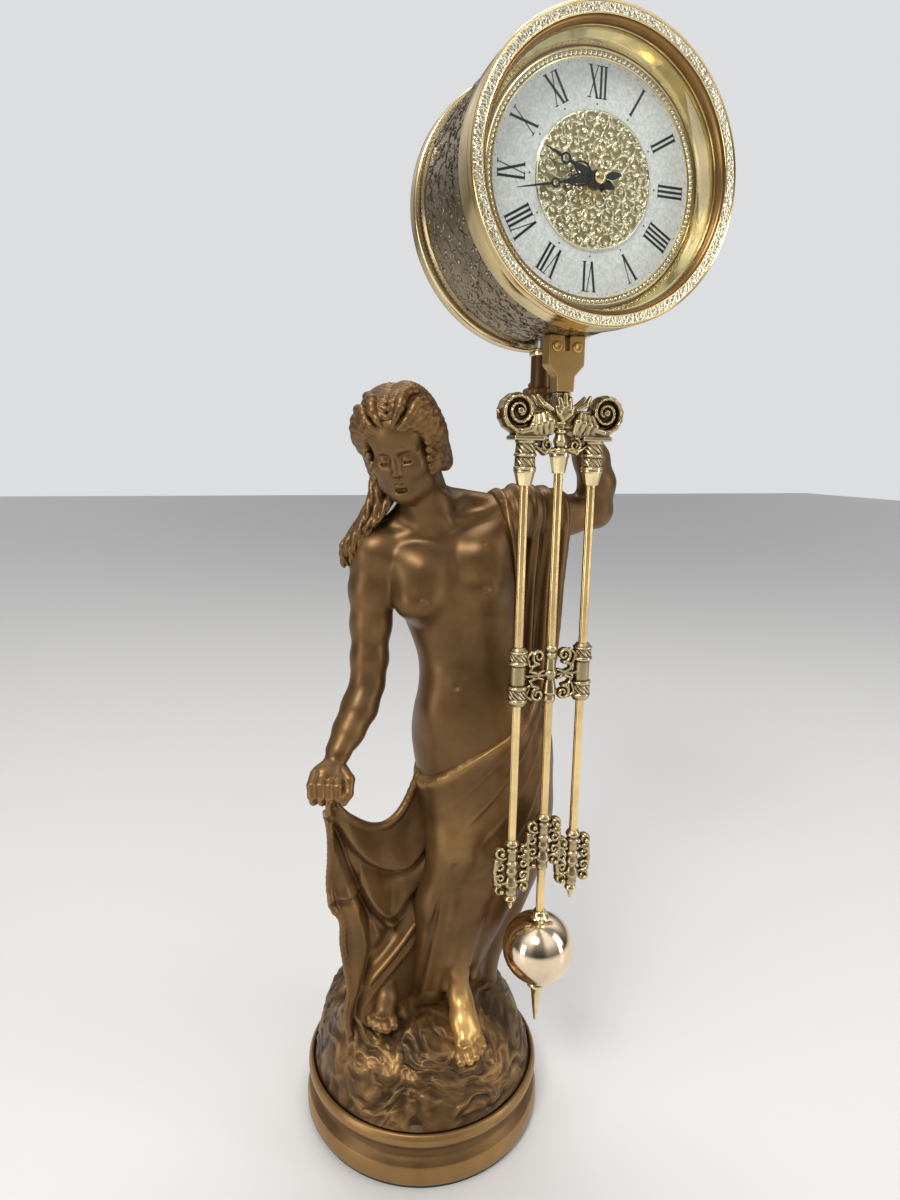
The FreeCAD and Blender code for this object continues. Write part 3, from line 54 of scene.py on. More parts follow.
class Tree:
    """The nodes of one material or of the world, with the short chains that they share."""

    def __init__(self, owner):
        owner.use_nodes = True
        self.nodes = owner.node_tree.nodes
        self.links = owner.node_tree.links

    def fill(self, item, inputs):
        """Give inputs a value, or link them to the output of another node."""
        for socket, value in inputs.items():
            if isinstance(value, bpy.types.NodeSocket):
                self.links.new(value, item.inputs[socket])
            else:
                item.inputs[socket].default_value = value

    def node(self, kind, inputs, **settings):
        item = self.nodes.new(kind)
        for title, value in settings.items():
            setattr(item, title, value)
        self.fill(item, inputs)
        return item

    def maths(self, operation, *inputs):
        return self.node("ShaderNodeMath", dict(enumerate(inputs)), operation=operation).outputs["Value"]

    def noise(self, scale, detail, rough):
        place = self.node("ShaderNodeTexCoord", {}).outputs["Object"]
        inputs = {"Scale": scale, "Detail": detail, "Roughness": rough, "Vector": place}
        return self.node("ShaderNodeTexNoise", inputs).outputs["Fac"]

    def ramp(self, source, stops):
        """Colours at places from 0 to 1."""
        item = self.node("ShaderNodeValToRGB", {"Fac": source})
        elements = item.color_ramp.elements
        while len(elements) < len(stops):
            elements.new(0.5)
        for element, (place, colour) in zip(elements, stops):
            element.position = place
            element.color = (*colour, 1.0)
        return item.outputs["Color"]

    def span(self, source, low, high, to_low, to_high):
        """The stretch from low to high laid onto another stretch."""
        inputs = {"Value": source, "From Min": low, "From Max": high, "To Min": to_low, "To Max": to_high}
        return self.node("ShaderNodeMapRange", inputs).outputs["Result"]

    def coat(self, colour, metallic, rough, speck, bump_by, bump_deep):
        """Colour, metal, roughness and fine bumps of a surface."""
        relief = self.node("ShaderNodeBump", {"Strength": bump_by, "Distance": bump_deep, "Height": speck})
        inputs = {"Base Color": colour, "Metallic": metallic, "Roughness": rough,
                  "Normal": relief.outputs["Normal"]}
        self.fill(self.nodes["Principled BSDF"], inputs)


def worn_metal(name, stops, metallic, rough, rough_spread, grain, mottle, bump_by):
    """Metal whose colour follows the wear of each point: dark in hollows, rubbed on ridges, and lighter where
    a painted highlight is added.
    """
    material = bpy.data.materials.new(name)
    tree = Tree(material)
    wear_and_highlight = tree.node("ShaderNodeAttribute", {}, attribute_name="wear_and_highlight").outputs["Fac"]
    cloud = tree.span(tree.noise(38.0, 5.0, 0.6), 0.3, 0.7, -mottle, mottle)
    level = tree.span(tree.maths("MULTIPLY_ADD", cloud, 0.30, wear_and_highlight), -1.0, 1.0, 0.0, 1.0)
    matt = tree.span(level, 0.0, 1.0, rough + rough_spread, rough - rough_spread)
    matt = tree.maths("MULTIPLY_ADD", cloud, 0.12, matt)
    tree.coat(tree.ramp(level, stops), metallic, matt, tree.noise(grain, 3.0, 0.6), bump_by, 0.0004)
    return material


def polished(name, colour, rough, smudge=0.10):
    """Bright metal with faint smudges."""
    material = bpy.data.materials.new(name)
    tree = Tree(material)
    cloud = tree.noise(55.0, 5.0, 0.65)
    dark = tuple(c * 0.72 for c in colour)
    tree.coat(tree.ramp(cloud, [(0.28, dark), (0.62, colour)]), 1.0,
              tree.span(cloud, 0.3, 0.75, rough + smudge, rough), tree.noise(420.0, 2.0, 0.6), 0.02, 0.0003)
    return material


def plain(name, colour, rough, metallic=0.0, grain=300.0, bump_by=0.1):
    """Paint, plastic or cloth of nearly one colour."""
    material = bpy.data.materials.new(name)
    tree = Tree(material)
    speck = tree.noise(grain, 4.0, 0.6)
    light = tuple(min(1.0, c * 1.12) for c in colour)
    dark = tuple(c * 0.86 for c in colour)
    tree.coat(tree.ramp(speck, [(0.35, dark), (0.65, light)]), metallic, rough, speck, bump_by, 0.0002)
    return material


def glass_like(name):
    """Thin glass: clear, with reflections on its outer side."""
    material = bpy.data.materials.new(name)
    tree = Tree(material)
    tree.nodes.remove(tree.nodes["Principled BSDF"])
    clear = tree.node("ShaderNodeBsdfTransparent", {"Color": (0.97, 0.985, 0.98, 1.0)})
    shine = tree.node("ShaderNodeBsdfGlossy", {"Roughness": 0.015, "Color": (1.0, 1.0, 1.0, 1.0)})
    fresnel = tree.node("ShaderNodeFresnel", {"IOR": 1.5})
    side = tree.node("ShaderNodeNewGeometry", {})
    outer = tree.maths("SUBTRACT", 1.0, side.outputs["Backfacing"])
    share = tree.maths("MULTIPLY", fresnel.outputs["Fac"], outer)
    mix = tree.node("ShaderNodeMixShader", {"Fac": share, 1: clear.outputs["BSDF"], 2: shine.outputs["BSDF"]})
    tree.fill(tree.nodes["Material Output"], {"Surface": mix.outputs["Shader"]})
    return material


BRONZE_STOPS = [(0.10, (0.016, 0.009, 0.004)), (0.36, (0.066, 0.034, 0.012)), (0.54, (0.165, 0.088, 0.031)),
                (0.76, (0.36, 0.205, 0.068)), (0.96, (0.80, 0.50, 0.17))]
bronze = worn_metal("bronze_patina", BRONZE_STOPS, 0.62, 0.40, 0.10, 340.0, 0.45, 0.10)
ANTIQUE_STOPS = [(0.20, (0.014, 0.011, 0.008)), (0.42, (0.11, 0.085, 0.050)), (0.58, (0.52, 0.41, 0.23)),
                 (0.85, (0.90, 0.74, 0.45))]
antique = worn_metal("antique_brass", ANTIQUE_STOPS, 1.0, 0.28, 0.10, 420.0, 0.28, 0.06)
ENGRAVED_STOPS = [(0.20, (0.018, 0.013, 0.009)), (0.42, (0.085, 0.065, 0.045)), (0.62, (0.34, 0.275, 0.20)),
                  (0.85, (0.62, 0.53, 0.41))]
engraved = worn_metal("engraved_band", ENGRAVED_STOPS, 1.0, 0.34, 0.08, 420.0, 0.30, 0.06)
engraved.node_tree.nodes["Principled BSDF"].inputs["Specular Tint"].default_value = (0.40, 0.33, 0.26, 1.0)
FILIGREE_STOPS = [(0.15, (0.50, 0.40, 0.20)), (0.45, (0.88, 0.79, 0.54)), (0.80, (1.0, 0.95, 0.78))]
filigree = worn_metal("gilt_filigree", FILIGREE_STOPS, 1.0, 0.24, 0.06, 420.0, 0.20, 0.05)
gilt = polished("polished_gilt", (0.92, 0.71, 0.35), 0.12)
pale_gilt = polished("pale_gilt", (0.92, 0.75, 0.43), 0.15)
rod_brass = polished("rod_brass", (0.94, 0.70, 0.33), 0.16)
lip_bronze = polished("lip_bronze", (0.30, 0.17, 0.065), 0.25, 0.12)
recess_brass = polished("recess_brass", (0.86, 0.70, 0.36), 0.10)
block_brass = polished("block_brass", (0.62, 0.40, 0.15), 0.28, 0.12)
bob_brass = polished("bob_brass", (0.92, 0.74, 0.52), 0.10)
steel = polished("steel", (0.62, 0.61, 0.59), 0.30)
silver = plain("dial_silver", (0.84, 0.85, 0.84), 0.36, 0.15, 700.0, 0.02)
ink = plain("black_enamel", (0.012, 0.012, 0.014), 0.35)
black = plain("black_plastic", (0.03, 0.03, 0.032), 0.48)
felt = plain("felt", (0.035, 0.045, 0.035), 0.95, 0.0, 900.0, 0.6)
cell_skin = plain("cell_skin", (0.42, 0.33, 0.14), 0.35, 0.6)
glass = glass_like("clear_glass")


# meshes

def piece(name, verts, faces, body, material, wear_and_highlight=None, replaces=(), crease=None, normals=None):
    """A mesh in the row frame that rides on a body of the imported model."""
    data = bpy.data.meshes.new(name)
    points = np.asarray(verts, float).reshape(-1, 3) * MM
    data.from_pydata(points.tolist(), [], faces.tolist() if isinstance(faces, np.ndarray) else faces)
    data.validate()
    data.polygons.foreach_set("use_smooth", [True] * len(data.polygons))
    if crease is not None:
        data.set_sharp_from_angle(angle=math.radians(crease))
    if normals is not None:
        data.normals_split_custom_set_from_vertices(normals.tolist())
    values = np.zeros(len(points), np.float32) if wear_and_highlight is None else np.asarray(wear_and_highlight, np.float32)
    attribute = data.attributes.new("wear_and_highlight", "FLOAT", "POINT")
    attribute.data.foreach_set("value", values)
    item = bpy.data.objects.new(name, data)
    bpy.context.scene.collection.objects.link(item)
    data.materials.append(material)
    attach(item, body)
    if replaces:
        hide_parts(*replaces)
    return item


def grid_faces(rows, cols, close_rows=False, close_cols=False):
    """Quads over rows and columns of points, closed round either way where asked."""
    i = np.arange(rows if close_rows else rows - 1)
    j = np.arange(cols if close_cols else cols - 1)
    a, b = np.meshgrid(i, j, indexing="ij")
    a1 = (a + 1) % rows
    b1 = (b + 1) % cols
    return np.stack([a * cols + b, a1 * cols + b, a1 * cols + b1, a * cols + b1], -1).reshape(-1, 4)


def rounded(points, radius, steps=3):
    """An open outline with its inner corners rounded."""
    points = [np.array(p, float) for p in points]
    out = [points[0]]
    for before, here, after in zip(points, points[1:], points[2:]):
        back = before - here
        on = after - here
        reach = min(radius, 0.45 * np.linalg.norm(back), 0.45 * np.linalg.norm(on))
        first = here + back / np.linalg.norm(back) * reach
        last = here + on / np.linalg.norm(on) * reach
        for step in range(steps + 1):
            t = step / steps
            out.append(first * (1 - t) ** 2 + here * 2 * t * (1 - t) + last * t ** 2)
    out.append(points[-1])
    return out


def full_turn(count):
    """Even angles all the way round."""
    return np.linspace(0, 2 * np.pi, count, endpoint=False)


def ring_points(centre, axis, radius, height, angle):
    """Rings of points about an axis that runs up (z) or back from the dial (y)."""
    first, second = radius * np.cos(angle)[:, None], radius * np.sin(angle)[:, None]
    height = height + 0 * first
    if axis == "z":
        return np.stack([centre[0] + first, centre[1] + second, centre[2] + height], -1)
    return np.stack([centre[0] + first, centre[1] + height, centre[2] - second], -1)


def turned_part(centre, axis, profile, count, closed=False):
    """Points and faces of a turned shape with a profile of (radius, height)."""
    profile = np.array(profile, float)
    points = ring_points(centre, axis, profile[None, :, 0], profile[None, :, 1], full_turn(count))
    return points, grid_faces(count, len(profile), True, closed)


def lathe(name, centre, axis, profile, body, material, replaces=(), count=192, crease=40, closed=False,
          wear_and_highlight=None):
    """A turned piece of its own."""
    points, faces = turned_part(centre, axis, profile, count, closed)
    return piece(name, points, faces, body, material, wear_and_highlight, replaces, crease)


def merged(parts):
    """Several (verts, faces) sets as one."""
    verts = []
    faces = []
    start = 0
    for part_verts, part_faces in parts:
        part_verts = np.asarray(part_verts, float).reshape(-1, 3)
        verts.append(part_verts)
        faces += [[index + start for index in face] for face in np.asarray(part_faces, object).tolist()]
        start += len(part_verts)
    return np.concatenate(verts), faces


def plate(outline, front, back):
    """A flat outline in x and z, closed between two depths."""
    count = len(outline)
    verts = [(x, front, z) for x, z in outline] + [(x, back, z) for x, z in outline]
    faces = [list(range(count)), [count + k for k in reversed(range(count))]]
    faces += [[k, count + k, count + (k + 1) % count, (k + 1) % count] for k in range(count)]
    return verts, faces


# noise

SEED_TABLE = np.random.default_rng(11).random((64, 64, 64)).astype(np.float32)


def corner_shares(part):
    """The eight corners of a cell, each with its share at a place in the cell."""
    for corner in itertools.product((0, 1), repeat=3):
        across, deep, up = (part[..., k] if corner[k] else 1 - part[..., k] for k in range(3))
        yield corner, across * deep * up


def value_noise(points):
    """Smooth noise from 0 to 1."""
    cell = np.floor(points).astype(int)
    part = points - cell
    total = 0.0
    for (dx, dy, dz), share in corner_shares(part * part * (3 - 2 * part)):
        corner = SEED_TABLE[(cell[..., 0] + dx) % 64, (cell[..., 1] + dy) % 64, (cell[..., 2] + dz) % 64]
        total = total + corner * share
    return total


def cloud_noise(points, size, octaves):
    """Noise about zero in several sizes, the largest one of the given size."""
    total = 0.0
    strength = 0.5
    for octave in range(octaves):
        total = total + strength * (value_noise(points / size * 2 ** octave + 17.3 * octave) * 2 - 1)
        strength *= 0.5
    return total


# sculpting with distance fields

# beyond FAR a distance is not kept; within SHELL of a surface it is exact when the block is meshed
FAR = 24.0
SHELL = 3.0


class Clay:
    """A block of distances that shapes are added to or carved from."""

    def __init__(self, low, high, step):
        self.step = step * FINE
        self.low = np.array(low, float)
        self.count = np.ceil((np.array(high, float) - self.low) / self.step).astype(int) + 1
        self.field = np.full(self.count, FAR, np.float32)

    def window(self, low, high, margin):
        """The part of the block round a box, as slices and as the places of its cells."""
        first = np.floor((np.array(low) - margin - self.low) / self.step).astype(int).clip(0)
        last = np.minimum(np.ceil((np.array(high) + margin - self.low) / self.step).astype(int) + 1,
                          self.count)
        if np.any(last <= first):
            return None, None
        axes = [self.low[k] + self.step * np.arange(first[k], last[k]) for k in range(3)]
        x, y, z = (a.astype(np.float32) for a in axes)
        cut = tuple(slice(first[k], last[k]) for k in range(3))
        return cut, (x[:, None, None], y[None, :, None], z[None, None, :])

    def put(self, shape, low, high, soft=1.0, carve=False):
        """Blend a shape into the block, or carve it out, over a seam as wide as soft."""
        cut, grid = self.window(low, high, soft + SHELL)
        if cut is None:
            return
        distance = shape(*grid)
        old = self.field[cut]
        if carve:
            h = np.clip(0.5 - 0.5 * (old + distance) / soft, 0, 1)
            self.field[cut] = old * (1 - h) - distance * h + soft * h * (1 - h)
        else:
            h = np.clip(0.5 + 0.5 * (old - distance) / soft, 0, 1)
            self.field[cut] = old * (1 - h) + distance * h - soft * h * (1 - h)

    def ellipsoid(self, centre, radii, soft=2.0, turn=None, carve=False):
        centre = np.array(centre, float)
        radii = np.array(radii, float)
        reach = radii.max() if turn is not None else radii

        def shape(x, y, z):
            p, q, r = x - centre[0], y - centre[1], z - centre[2]
            if turn is not None:
                p, q, r = (turn[0][k] * p + turn[1][k] * q + turn[2][k] * r for k in range(3))
            k0 = np.sqrt((p / radii[0]) ** 2 + (q / radii[1]) ** 2 + (r / radii[2]) ** 2)
            k1 = np.sqrt((p / radii[0] ** 2) ** 2 + (q / radii[1] ** 2) ** 2 + (r / radii[2] ** 2) ** 2)
            return k0 * (k0 - 1) / np.maximum(k1, 1e-6)
        self.put(shape, centre - reach, centre + reach, soft, carve)

    def ball(self, centre, radius, soft=2.0, carve=False):
        self.ellipsoid(centre, (radius, radius, radius), soft, None, carve)

    def rod(self, a, b, ra, rb, soft=1.5, carve=False, deep=None):
        """A tapered rod; deep = (y plane, factor) squeezes depth so that the rod is a deeper ribbon."""
        a = np.array(a, float)
        b = np.array(b, float)
        low = np.minimum(a, b) - max(ra, rb)
        high = np.maximum(a, b) + max(ra, rb)
        if deep is not None:
            low[1] = deep[0] + (low[1] - deep[0]) / deep[1]
            high[1] = deep[0] + (high[1] - deep[0]) / deep[1]
        way = b - a
        length2 = max(float(way @ way), 1e-9)

        def shape(x, y, z):
            yy = y if deep is None else deep[0] + (y - deep[0]) * deep[1]
            p, q, r = x - a[0], yy - a[1], z - a[2]
            t = np.clip((p * way[0] + q * way[1] + r * way[2]) / length2, 0, 1)
            gap = np.sqrt((p - t * way[0]) ** 2 + (q - t * way[1]) ** 2 + (r - t * way[2]) ** 2)
            return gap - (ra + (rb - ra) * t)
        self.put(shape, low, high, soft, carve)

    def chain(self, points, radii, soft=1.5, carve=False, deep=None):
        for k in range(len(points) - 1):
            self.rod(points[k], points[k + 1], radii[k], radii[k + 1], soft, carve, deep)

    def box(self, centre, half, edge=0.4, soft=0.6):
        centre = np.array(centre, float)
        half = np.array(half, float)

        def shape(x, y, z):
            p = np.abs(x - centre[0]) - half[0] + edge
            q = np.abs(y - centre[1]) - half[1] + edge
            r = np.abs(z - centre[2]) - half[2] + edge
            out = np.sqrt(np.maximum(p, 0) ** 2 + np.maximum(q, 0) ** 2 + np.maximum(r, 0) ** 2)
            return out + np.minimum(np.maximum(np.maximum(p, q), r), 0) - edge
        self.put(shape, centre - half, centre + half, soft)

    def turned(self, x0, y0, heights, radii, soft=0.5, ripple=None):
        """An upright turned shape from radii at falling heights."""
        heights = np.array(heights, float)
        radii = np.array(radii, float)
        order = np.argsort(heights)

        def shape(x, y, z):
            target = np.interp(z, heights[order], radii[order])
            p, q = x - x0, y - y0
            around = np.sqrt(p * p + q * q)
            if ripple is not None:
                target = target + ripple(np.arctan2(q, p), z)
            side = around - target
            ends = np.maximum(z - heights.max(), heights.min() - z)
            return np.maximum(side, ends) + 0 * side
        big = radii.max() + 1
        self.put(shape, (x0 - big, y0 - big, heights.min()), (x0 + big, y0 + big, heights.max()), soft)

    def sliced(self, table, soft=2.0, turn_deg=0.0, extra=None, power=2.0):
        """Stacked ellipses: rows of height, centre x, centre y, half width, half depth."""
        table = np.array(sorted(table), float)
        low = (table[:, 1].min() - table[:, 3].max() - 4, table[:, 2].min() - table[:, 4].max() - 4,
               table[0, 0])
        high = (table[:, 1].max() + table[:, 3].max() + 4, table[:, 2].max() + table[:, 4].max() + 4,
                table[-1, 0])
        c, s = math.cos(math.radians(turn_deg)), math.sin(math.radians(turn_deg))

        def shape(x, y, z):
            cx, cy, a, b = (smooth_interp(z, table[:, 0], table[:, k]) for k in (1, 2, 3, 4))
            p = c * (x - cx) + s * (y - cy)
            q = -s * (x - cx) + c * (y - cy)
            k0 = (np.abs(p / a) ** power + np.abs(q / b) ** power) ** (1 / power)
            k1 = np.sqrt((p / a ** 2) ** 2 + (q / b ** 2) ** 2)
            d = k0 * (k0 - 1) / np.maximum(k1, 1e-4)
            d = np.clip(d, -FAR, FAR)
            if extra is not None:
                d = extra(x, y, z, d, np.arctan2(q / b, p / a))
            return np.maximum(d, np.maximum(z - table[-1, 0], table[0, 0] - z))
        self.put(shape, low, high, soft)

    def smoothed(self, times):
        """The block blurred a number of times."""
        out = self.field.clip(-6, 6)
        for _ in range(times):
            for axis in range(3):
                out = 0.5 * out + 0.25 * (np.roll(out, 1, axis) + np.roll(out, -1, axis))
        return out

    def mesh(self):
        """Points, quads, outward normals and how far each point stands proud of its surroundings."""
        grid = openvdb.FloatGrid(SHELL)
        grid.copyFromArray(self.field.clip(-SHELL, SHELL))
        points, quads = grid.convertToQuads(isovalue=0.0)
        points = np.array(points, float)
        quads = np.array(quads, int)
        proud = (self.at(self.smoothed(3), points) + self.at(self.smoothed(9), points) * 0.6) / self.step
        slope = np.stack(np.gradient(self.field.clip(-SHELL, SHELL)), -1)
        normal = np.stack([self.at(slope[..., k], points) for k in range(3)], -1)
        normal /= np.maximum(np.linalg.norm(normal, axis=1)[:, None], 1e-6)
        p = points[quads]
        face_normal = np.cross(p[:, 2] - p[:, 0], p[:, 3] - p[:, 1])
        if np.sum(face_normal * normal[quads[:, 0]]) < 0:
            quads = quads[:, ::-1]
        return self.low + points * self.step, quads, normal, proud

    def at(self, block, points):
        """Values of a block between its cells."""
        cell = np.floor(points).astype(int)
        cell = np.minimum(cell, np.array(block.shape) - 2).clip(0)
        total = 0.0
        for (dx, dy, dz), share in corner_shares((points - cell).clip(0, 1)):
            total = total + share * block[cell[:, 0] + dx, cell[:, 1] + dy, cell[:, 2] + dz]
        return total


def smooth_interp(x, xs, ys):
    """Values on a smooth curve through the rows."""
    slope = np.gradient(ys, xs)
    index = np.clip(np.searchsorted(xs, x) - 1, 0, len(xs) - 2)
    step = xs[index + 1] - xs[index]
    t = np.clip((x - xs[index]) / step, 0, 1)
    return (ys[index] * (1 + 2 * t) * (1 - t) ** 2 + ys[index + 1] * t * t * (3 - 2 * t)
            + step * slope[index] * t * (1 - t) ** 2 - step * slope[index + 1] * t * t
            * (1 - t)).astype(np.float32)


def clay_piece(name, clay, body, material, replaces=(), gain=1.0, shift=0.0, rub_and_highlight=None, keep=None):
    """The surface of a block as a piece; keep chooses faces by their middle, and the rub-and-highlight
    function adds rubbed wear, and on the skirt a painted highlight, to points.
    """
    verts, quads, normals, proud = clay.mesh()
    wear_and_highlight = np.clip(proud * gain + shift, -1, 1)
    if rub_and_highlight is not None:
        wear_and_highlight = np.clip(wear_and_highlight + rub_and_highlight(verts), -1, 1)
    if keep is not None:
        chosen = keep(verts[quads].mean(1))
        quads = quads[chosen]
        used = np.unique(quads)
        index = np.full(len(verts), -1)
        index[used] = np.arange(len(used))
        verts, normals, wear_and_highlight, quads = verts[used], normals[used], wear_and_highlight[used], index[quads]
    return piece(name, verts, quads, body, material, wear_and_highlight, replaces, None, normals)


def figure_piece(name, clay, replaces, gain, shift, rub_and_highlight=None, keep=None):
    """A piece of the figure; gain and shift turn how proud a point stands into its wear."""
    return clay_piece(name, clay, "stand", bronze, replaces, gain, shift, rub_and_highlight, keep)


# figure: skin, from slices of the trunk and rods for muscles and arms

def arc(centre, radius, start, stop, steps, z):
    """Level points on a part of a circle."""
    return [(centre[0] + radius * math.cos(math.radians(a)),
             centre[1] + radius * math.sin(math.radians(a)), z)
            for a in np.linspace(start, stop, steps)]


# rows of height, centre x, centre y, half width and half depth
TORSO = [
    (206, 34, -2, 36, 28), (222, 33, -3, 39, 30), (240, 32, -3, 40, 30), (255, 29, -4, 36, 27),
         (266, 27, -4.5, 32, 24),
    (276, 25, -4.5, 29.5, 21.5), (286, 23, -4, 28.5, 20.5), (296, 21, -3.5, 29.5, 21),
    (308, 19, -2.5, 32, 22.5), (322, 17, -1.5, 35, 23.5), (336, 15, 0, 36.5, 22.5), (348, 13, 1, 37, 19),
    (358, 11, 2, 32, 14), (366, 8, 2, 20, 11), (374, 3, 0, 13, 11),
]

skin = Clay((-78, -48, 204), (124, 32, 400), 0.82)
skin.sliced(TORSO, 2.0, -8.0, None, 2.15)
skin.ellipsoid((18, -13, 258), (22, 13, 22), 12)
skin.rod((4, -2, 352), (-12, -9, 394), 13.2, 11.8, 9)
skin.rod((0, 3, 374), (-24, 5, 352), 8, 9, 8)
skin.rod((4, 3, 374), (44, 2, 366), 8, 10, 8)
skin.rod((-22, 2, 345), (-6, -12, 336), 11, 11, 8)
skin.rod((48, -4, 362), (26, -14, 345), 12, 11, 8)
for bx, by, bz in ((-9.0, -14.0, 321.0), (25, -17.5, 327.0)):
    skin.ellipsoid((bx, by, bz), (13.0, 12.4, 11.0), 7)
    skin.ellipsoid((bx + 1.5, by + 4.5, bz + 9), (12.0, 8.5, 15.0), 14)
    skin.ball((bx - 1.5, by - 12.2, bz + 0.5), 1.0, 2.6)
skin.rod((-1, -12.2, 360), (-24, -4, 352), 1.5, 1.8, 6)
skin.rod((6, -12.6, 362), (36, -7, 368), 1.5, 1.8, 6)
skin.ball((2, -18.5, 361.5), 2.4, 5, True)
skin.rod((1, -12, 363), (-23, -1, 392), 2.0, 2.6, 7)
skin.rod((5, -12, 365), (1, -3, 396), 2.0, 2.6, 7)
skin.rod((13, -29.0, 283), (9, -29.0, 312), 1.2, 1.6, 6, True)
skin.rod((9, -40, 274), (9, -26.2, 274), 1.6, 1.3, 1.6, True)
skin.rod((20, 25, 262), (13, 27, 345), 3.5, 4.0, 8, True)
skin.ellipsoid((-6, 14, 338), (13, 8, 15), 7)
skin.ellipsoid((36, 12, 346), (13, 8, 15), 7)

LOW_ARM = [(-28, 4, 344), (-31, 4, 325), (-31.5, 4, 305), (-33, 1.5, 286), (-34.5, 0, 272), (-40, -4, 260),
           (-47.5, -10, 249), (-54, -16, 240.5), (-58, -19.5, 234)]
LOW_ARM_R = [13.2, 11.8, 10.6, 9.6, 8.6, 9.2, 7.9, 5.9, 5.6]
skin.chain(LOW_ARM, LOW_ARM_R, 6)
skin.ball((-30, 5, 345), 12.8, 7)
skin.ball((-35.5, 4.5, 273), 5.5, 4)
low_hand = Clay((-80, -38, 208), (-46, -8, 246), 0.42)
low_hand.chain(LOW_ARM[5:], LOW_ARM_R[5:], 4)
low_hand.ellipsoid((-62.5, -22.5, 230.0), (8.6, 6.4, 7.4), 4)
for finger in range(4):
    fx = -71.2 + 4.5 * finger
    fz = 229.0 - 0.9 * finger
    low_hand.chain([(fx + 2.6 - 0.4 * finger, -25.0, fz + 4.0), (fx, -29.6, fz), (fx - 0.1, -31.0, fz - 5.4),
                    (fx + 1.0, -28.6, fz - 9.6), (fx + 2.0, -24.8, fz - 10.6)],
                   [2.7, 2.65, 2.45, 2.2, 2.0], 0.55)
low_hand.chain([(-54.5, -22, 234), (-51.0, -27.4, 228.6), (-52.2, -31.0, 222.4), (-55.0, -32.0, 218.4)],
               [3.4, 3.1, 2.7, 2.2], 0.9)
low_hand.chain([(-58, -24, 222), (-60, -25, 214)], [5.0, 3.6], 1.5)

HIGH_ARM = [(55, -3, 367), (70, -1, 365), (86, 0, 364.5), (103, 0, 367), (101, -5, 383), (94, -9.5, 397),
            (84, -14, 409), (75, -17.5, 416.5), (68, -19, 420.5)]
HIGH_ARM_R = [14.0, 12.4, 10.6, 9.6, 9.8, 9.2, 7.4, 5.8, 5.4]
high = Clay((38, -36, 340), (122, 22, 446), 0.74)
for clay in (skin, high):
    clay.chain(HIGH_ARM, HIGH_ARM_R, 6)
    clay.ball((107, 2, 367), 6.8, 4)
high.ellipsoid((63.5, -18.5, 424), (6.5, 6.4, 9.0), 3)
for finger in range(4):
    fz = 431.5 - 4.7 * finger
    high.chain(arc((55.02, -21.0), 7.9, 20, -190, 8, fz), [2.5, 2.5, 2.45, 2.4, 2.3, 2.2, 2.1, 1.9], 1.0)
high.chain([(66, -18, 430), (61, -13.5, 434.5), (54, -12.4, 435.5)], [3.0, 2.7, 2.2], 1.5)


def skin_rub(p):
    """Lighter where hands and cloth rub the casting."""
    fist = np.exp(-((p[:, 0] + 62) ** 2 + (p[:, 2] - 224) ** 2) / 160.0)
    return 0.25 * fist


def skin_keep(part):
    """Chooses the faces of the trunk, or of the lowered arm down to its wrist."""
    def keep(c):
        low_arm = (c[:, 0] < -24 - 0.08 * (c[:, 2] - 330)) & (c[:, 2] < 346)
        high_arm = (c[:, 0] > 66) & (c[:, 2] > 340)
        if part == "low":
            return low_arm & (c[:, 2] > 241.5)
        return ~low_arm & ~high_arm
    return keep


figure_piece("torso_skin", skin, (), 0.16, 0.02, skin_rub, skin_keep("torso"))
figure_piece("low_hand", low_hand, (), 0.12, 0.03, skin_rub, lambda c: c[:, 2] < 242.5)
figure_piece("low_arm_skin", skin, ("lowered_arm",), 0.16, 0.02, skin_rub, skin_keep("low"))
figure_piece("high_arm_skin", high, ("raised_arm",), 0.16, 0.0, None,
             lambda c: (c[:, 0] > 62) | (c[:, 2] > 398))

# figure: skirt, legs and feet

SKIRT = [
    (272, 27, -4, 33, 25.5), (255, 30, -4, 38.0, 29.0), (240, 33, -3.5, 42, 32), (225, 34, -3, 42.5, 32.5),
    (207, 37.5, -3.5, 41, 31.5), (190, 40, -4, 39.5, 30), (176, 42, -4, 36.5, 28.5), (160, 41, -3.5, 34, 27),
    (148, 39.5, -3, 33.5, 26), (134, 36, -1, 33, 24.5), (118, 30, 1, 33.5, 23.5), (100, 22, 4, 35, 22),
    (82, 15, 7, 38, 21), (64, 11, 8, 41, 21),
]
skirt = Clay((-50, -54, 50), (84, 34, 276), 0.90)


def skirt_folds(x, y, z, d, angle):
    """Thin diagonal creases over the thighs that turn into deep upright folds near the hem."""
    low = np.clip((172 - z) / 70, 0, 1)
    hem = low * low * (3 - 2 * low)
    upright = 0.5 + 0.5 * np.cos(9 * angle + 0.020 * (z - 60) + 0.8)
    d = d + hem * 4.2 * upright ** 1.5
    anchor = np.arctan2(z - 276, x - 84)
    lines = 0.0
    for where, width, height in ((-2.62, 0.018, 1.5), (-2.50, 0.012, 0.9), (-2.36, 0.016, 1.3),
                                 (-2.20, 0.012, 0.9),
                                 (-2.06, 0.014, 1.1), (-1.93, 0.012, 0.9)):
        bend = where + 0.10 * np.sin((z - 150) / 34.0)
        lines = lines + height * np.exp(-((anchor - bend) / width) ** 2)
    fade = np.clip((z - 120) / 40, 0, 1) * np.clip((20 - y) / 30, 0, 1)
    return d - 0.85 * lines * fade + 0.55 * fade


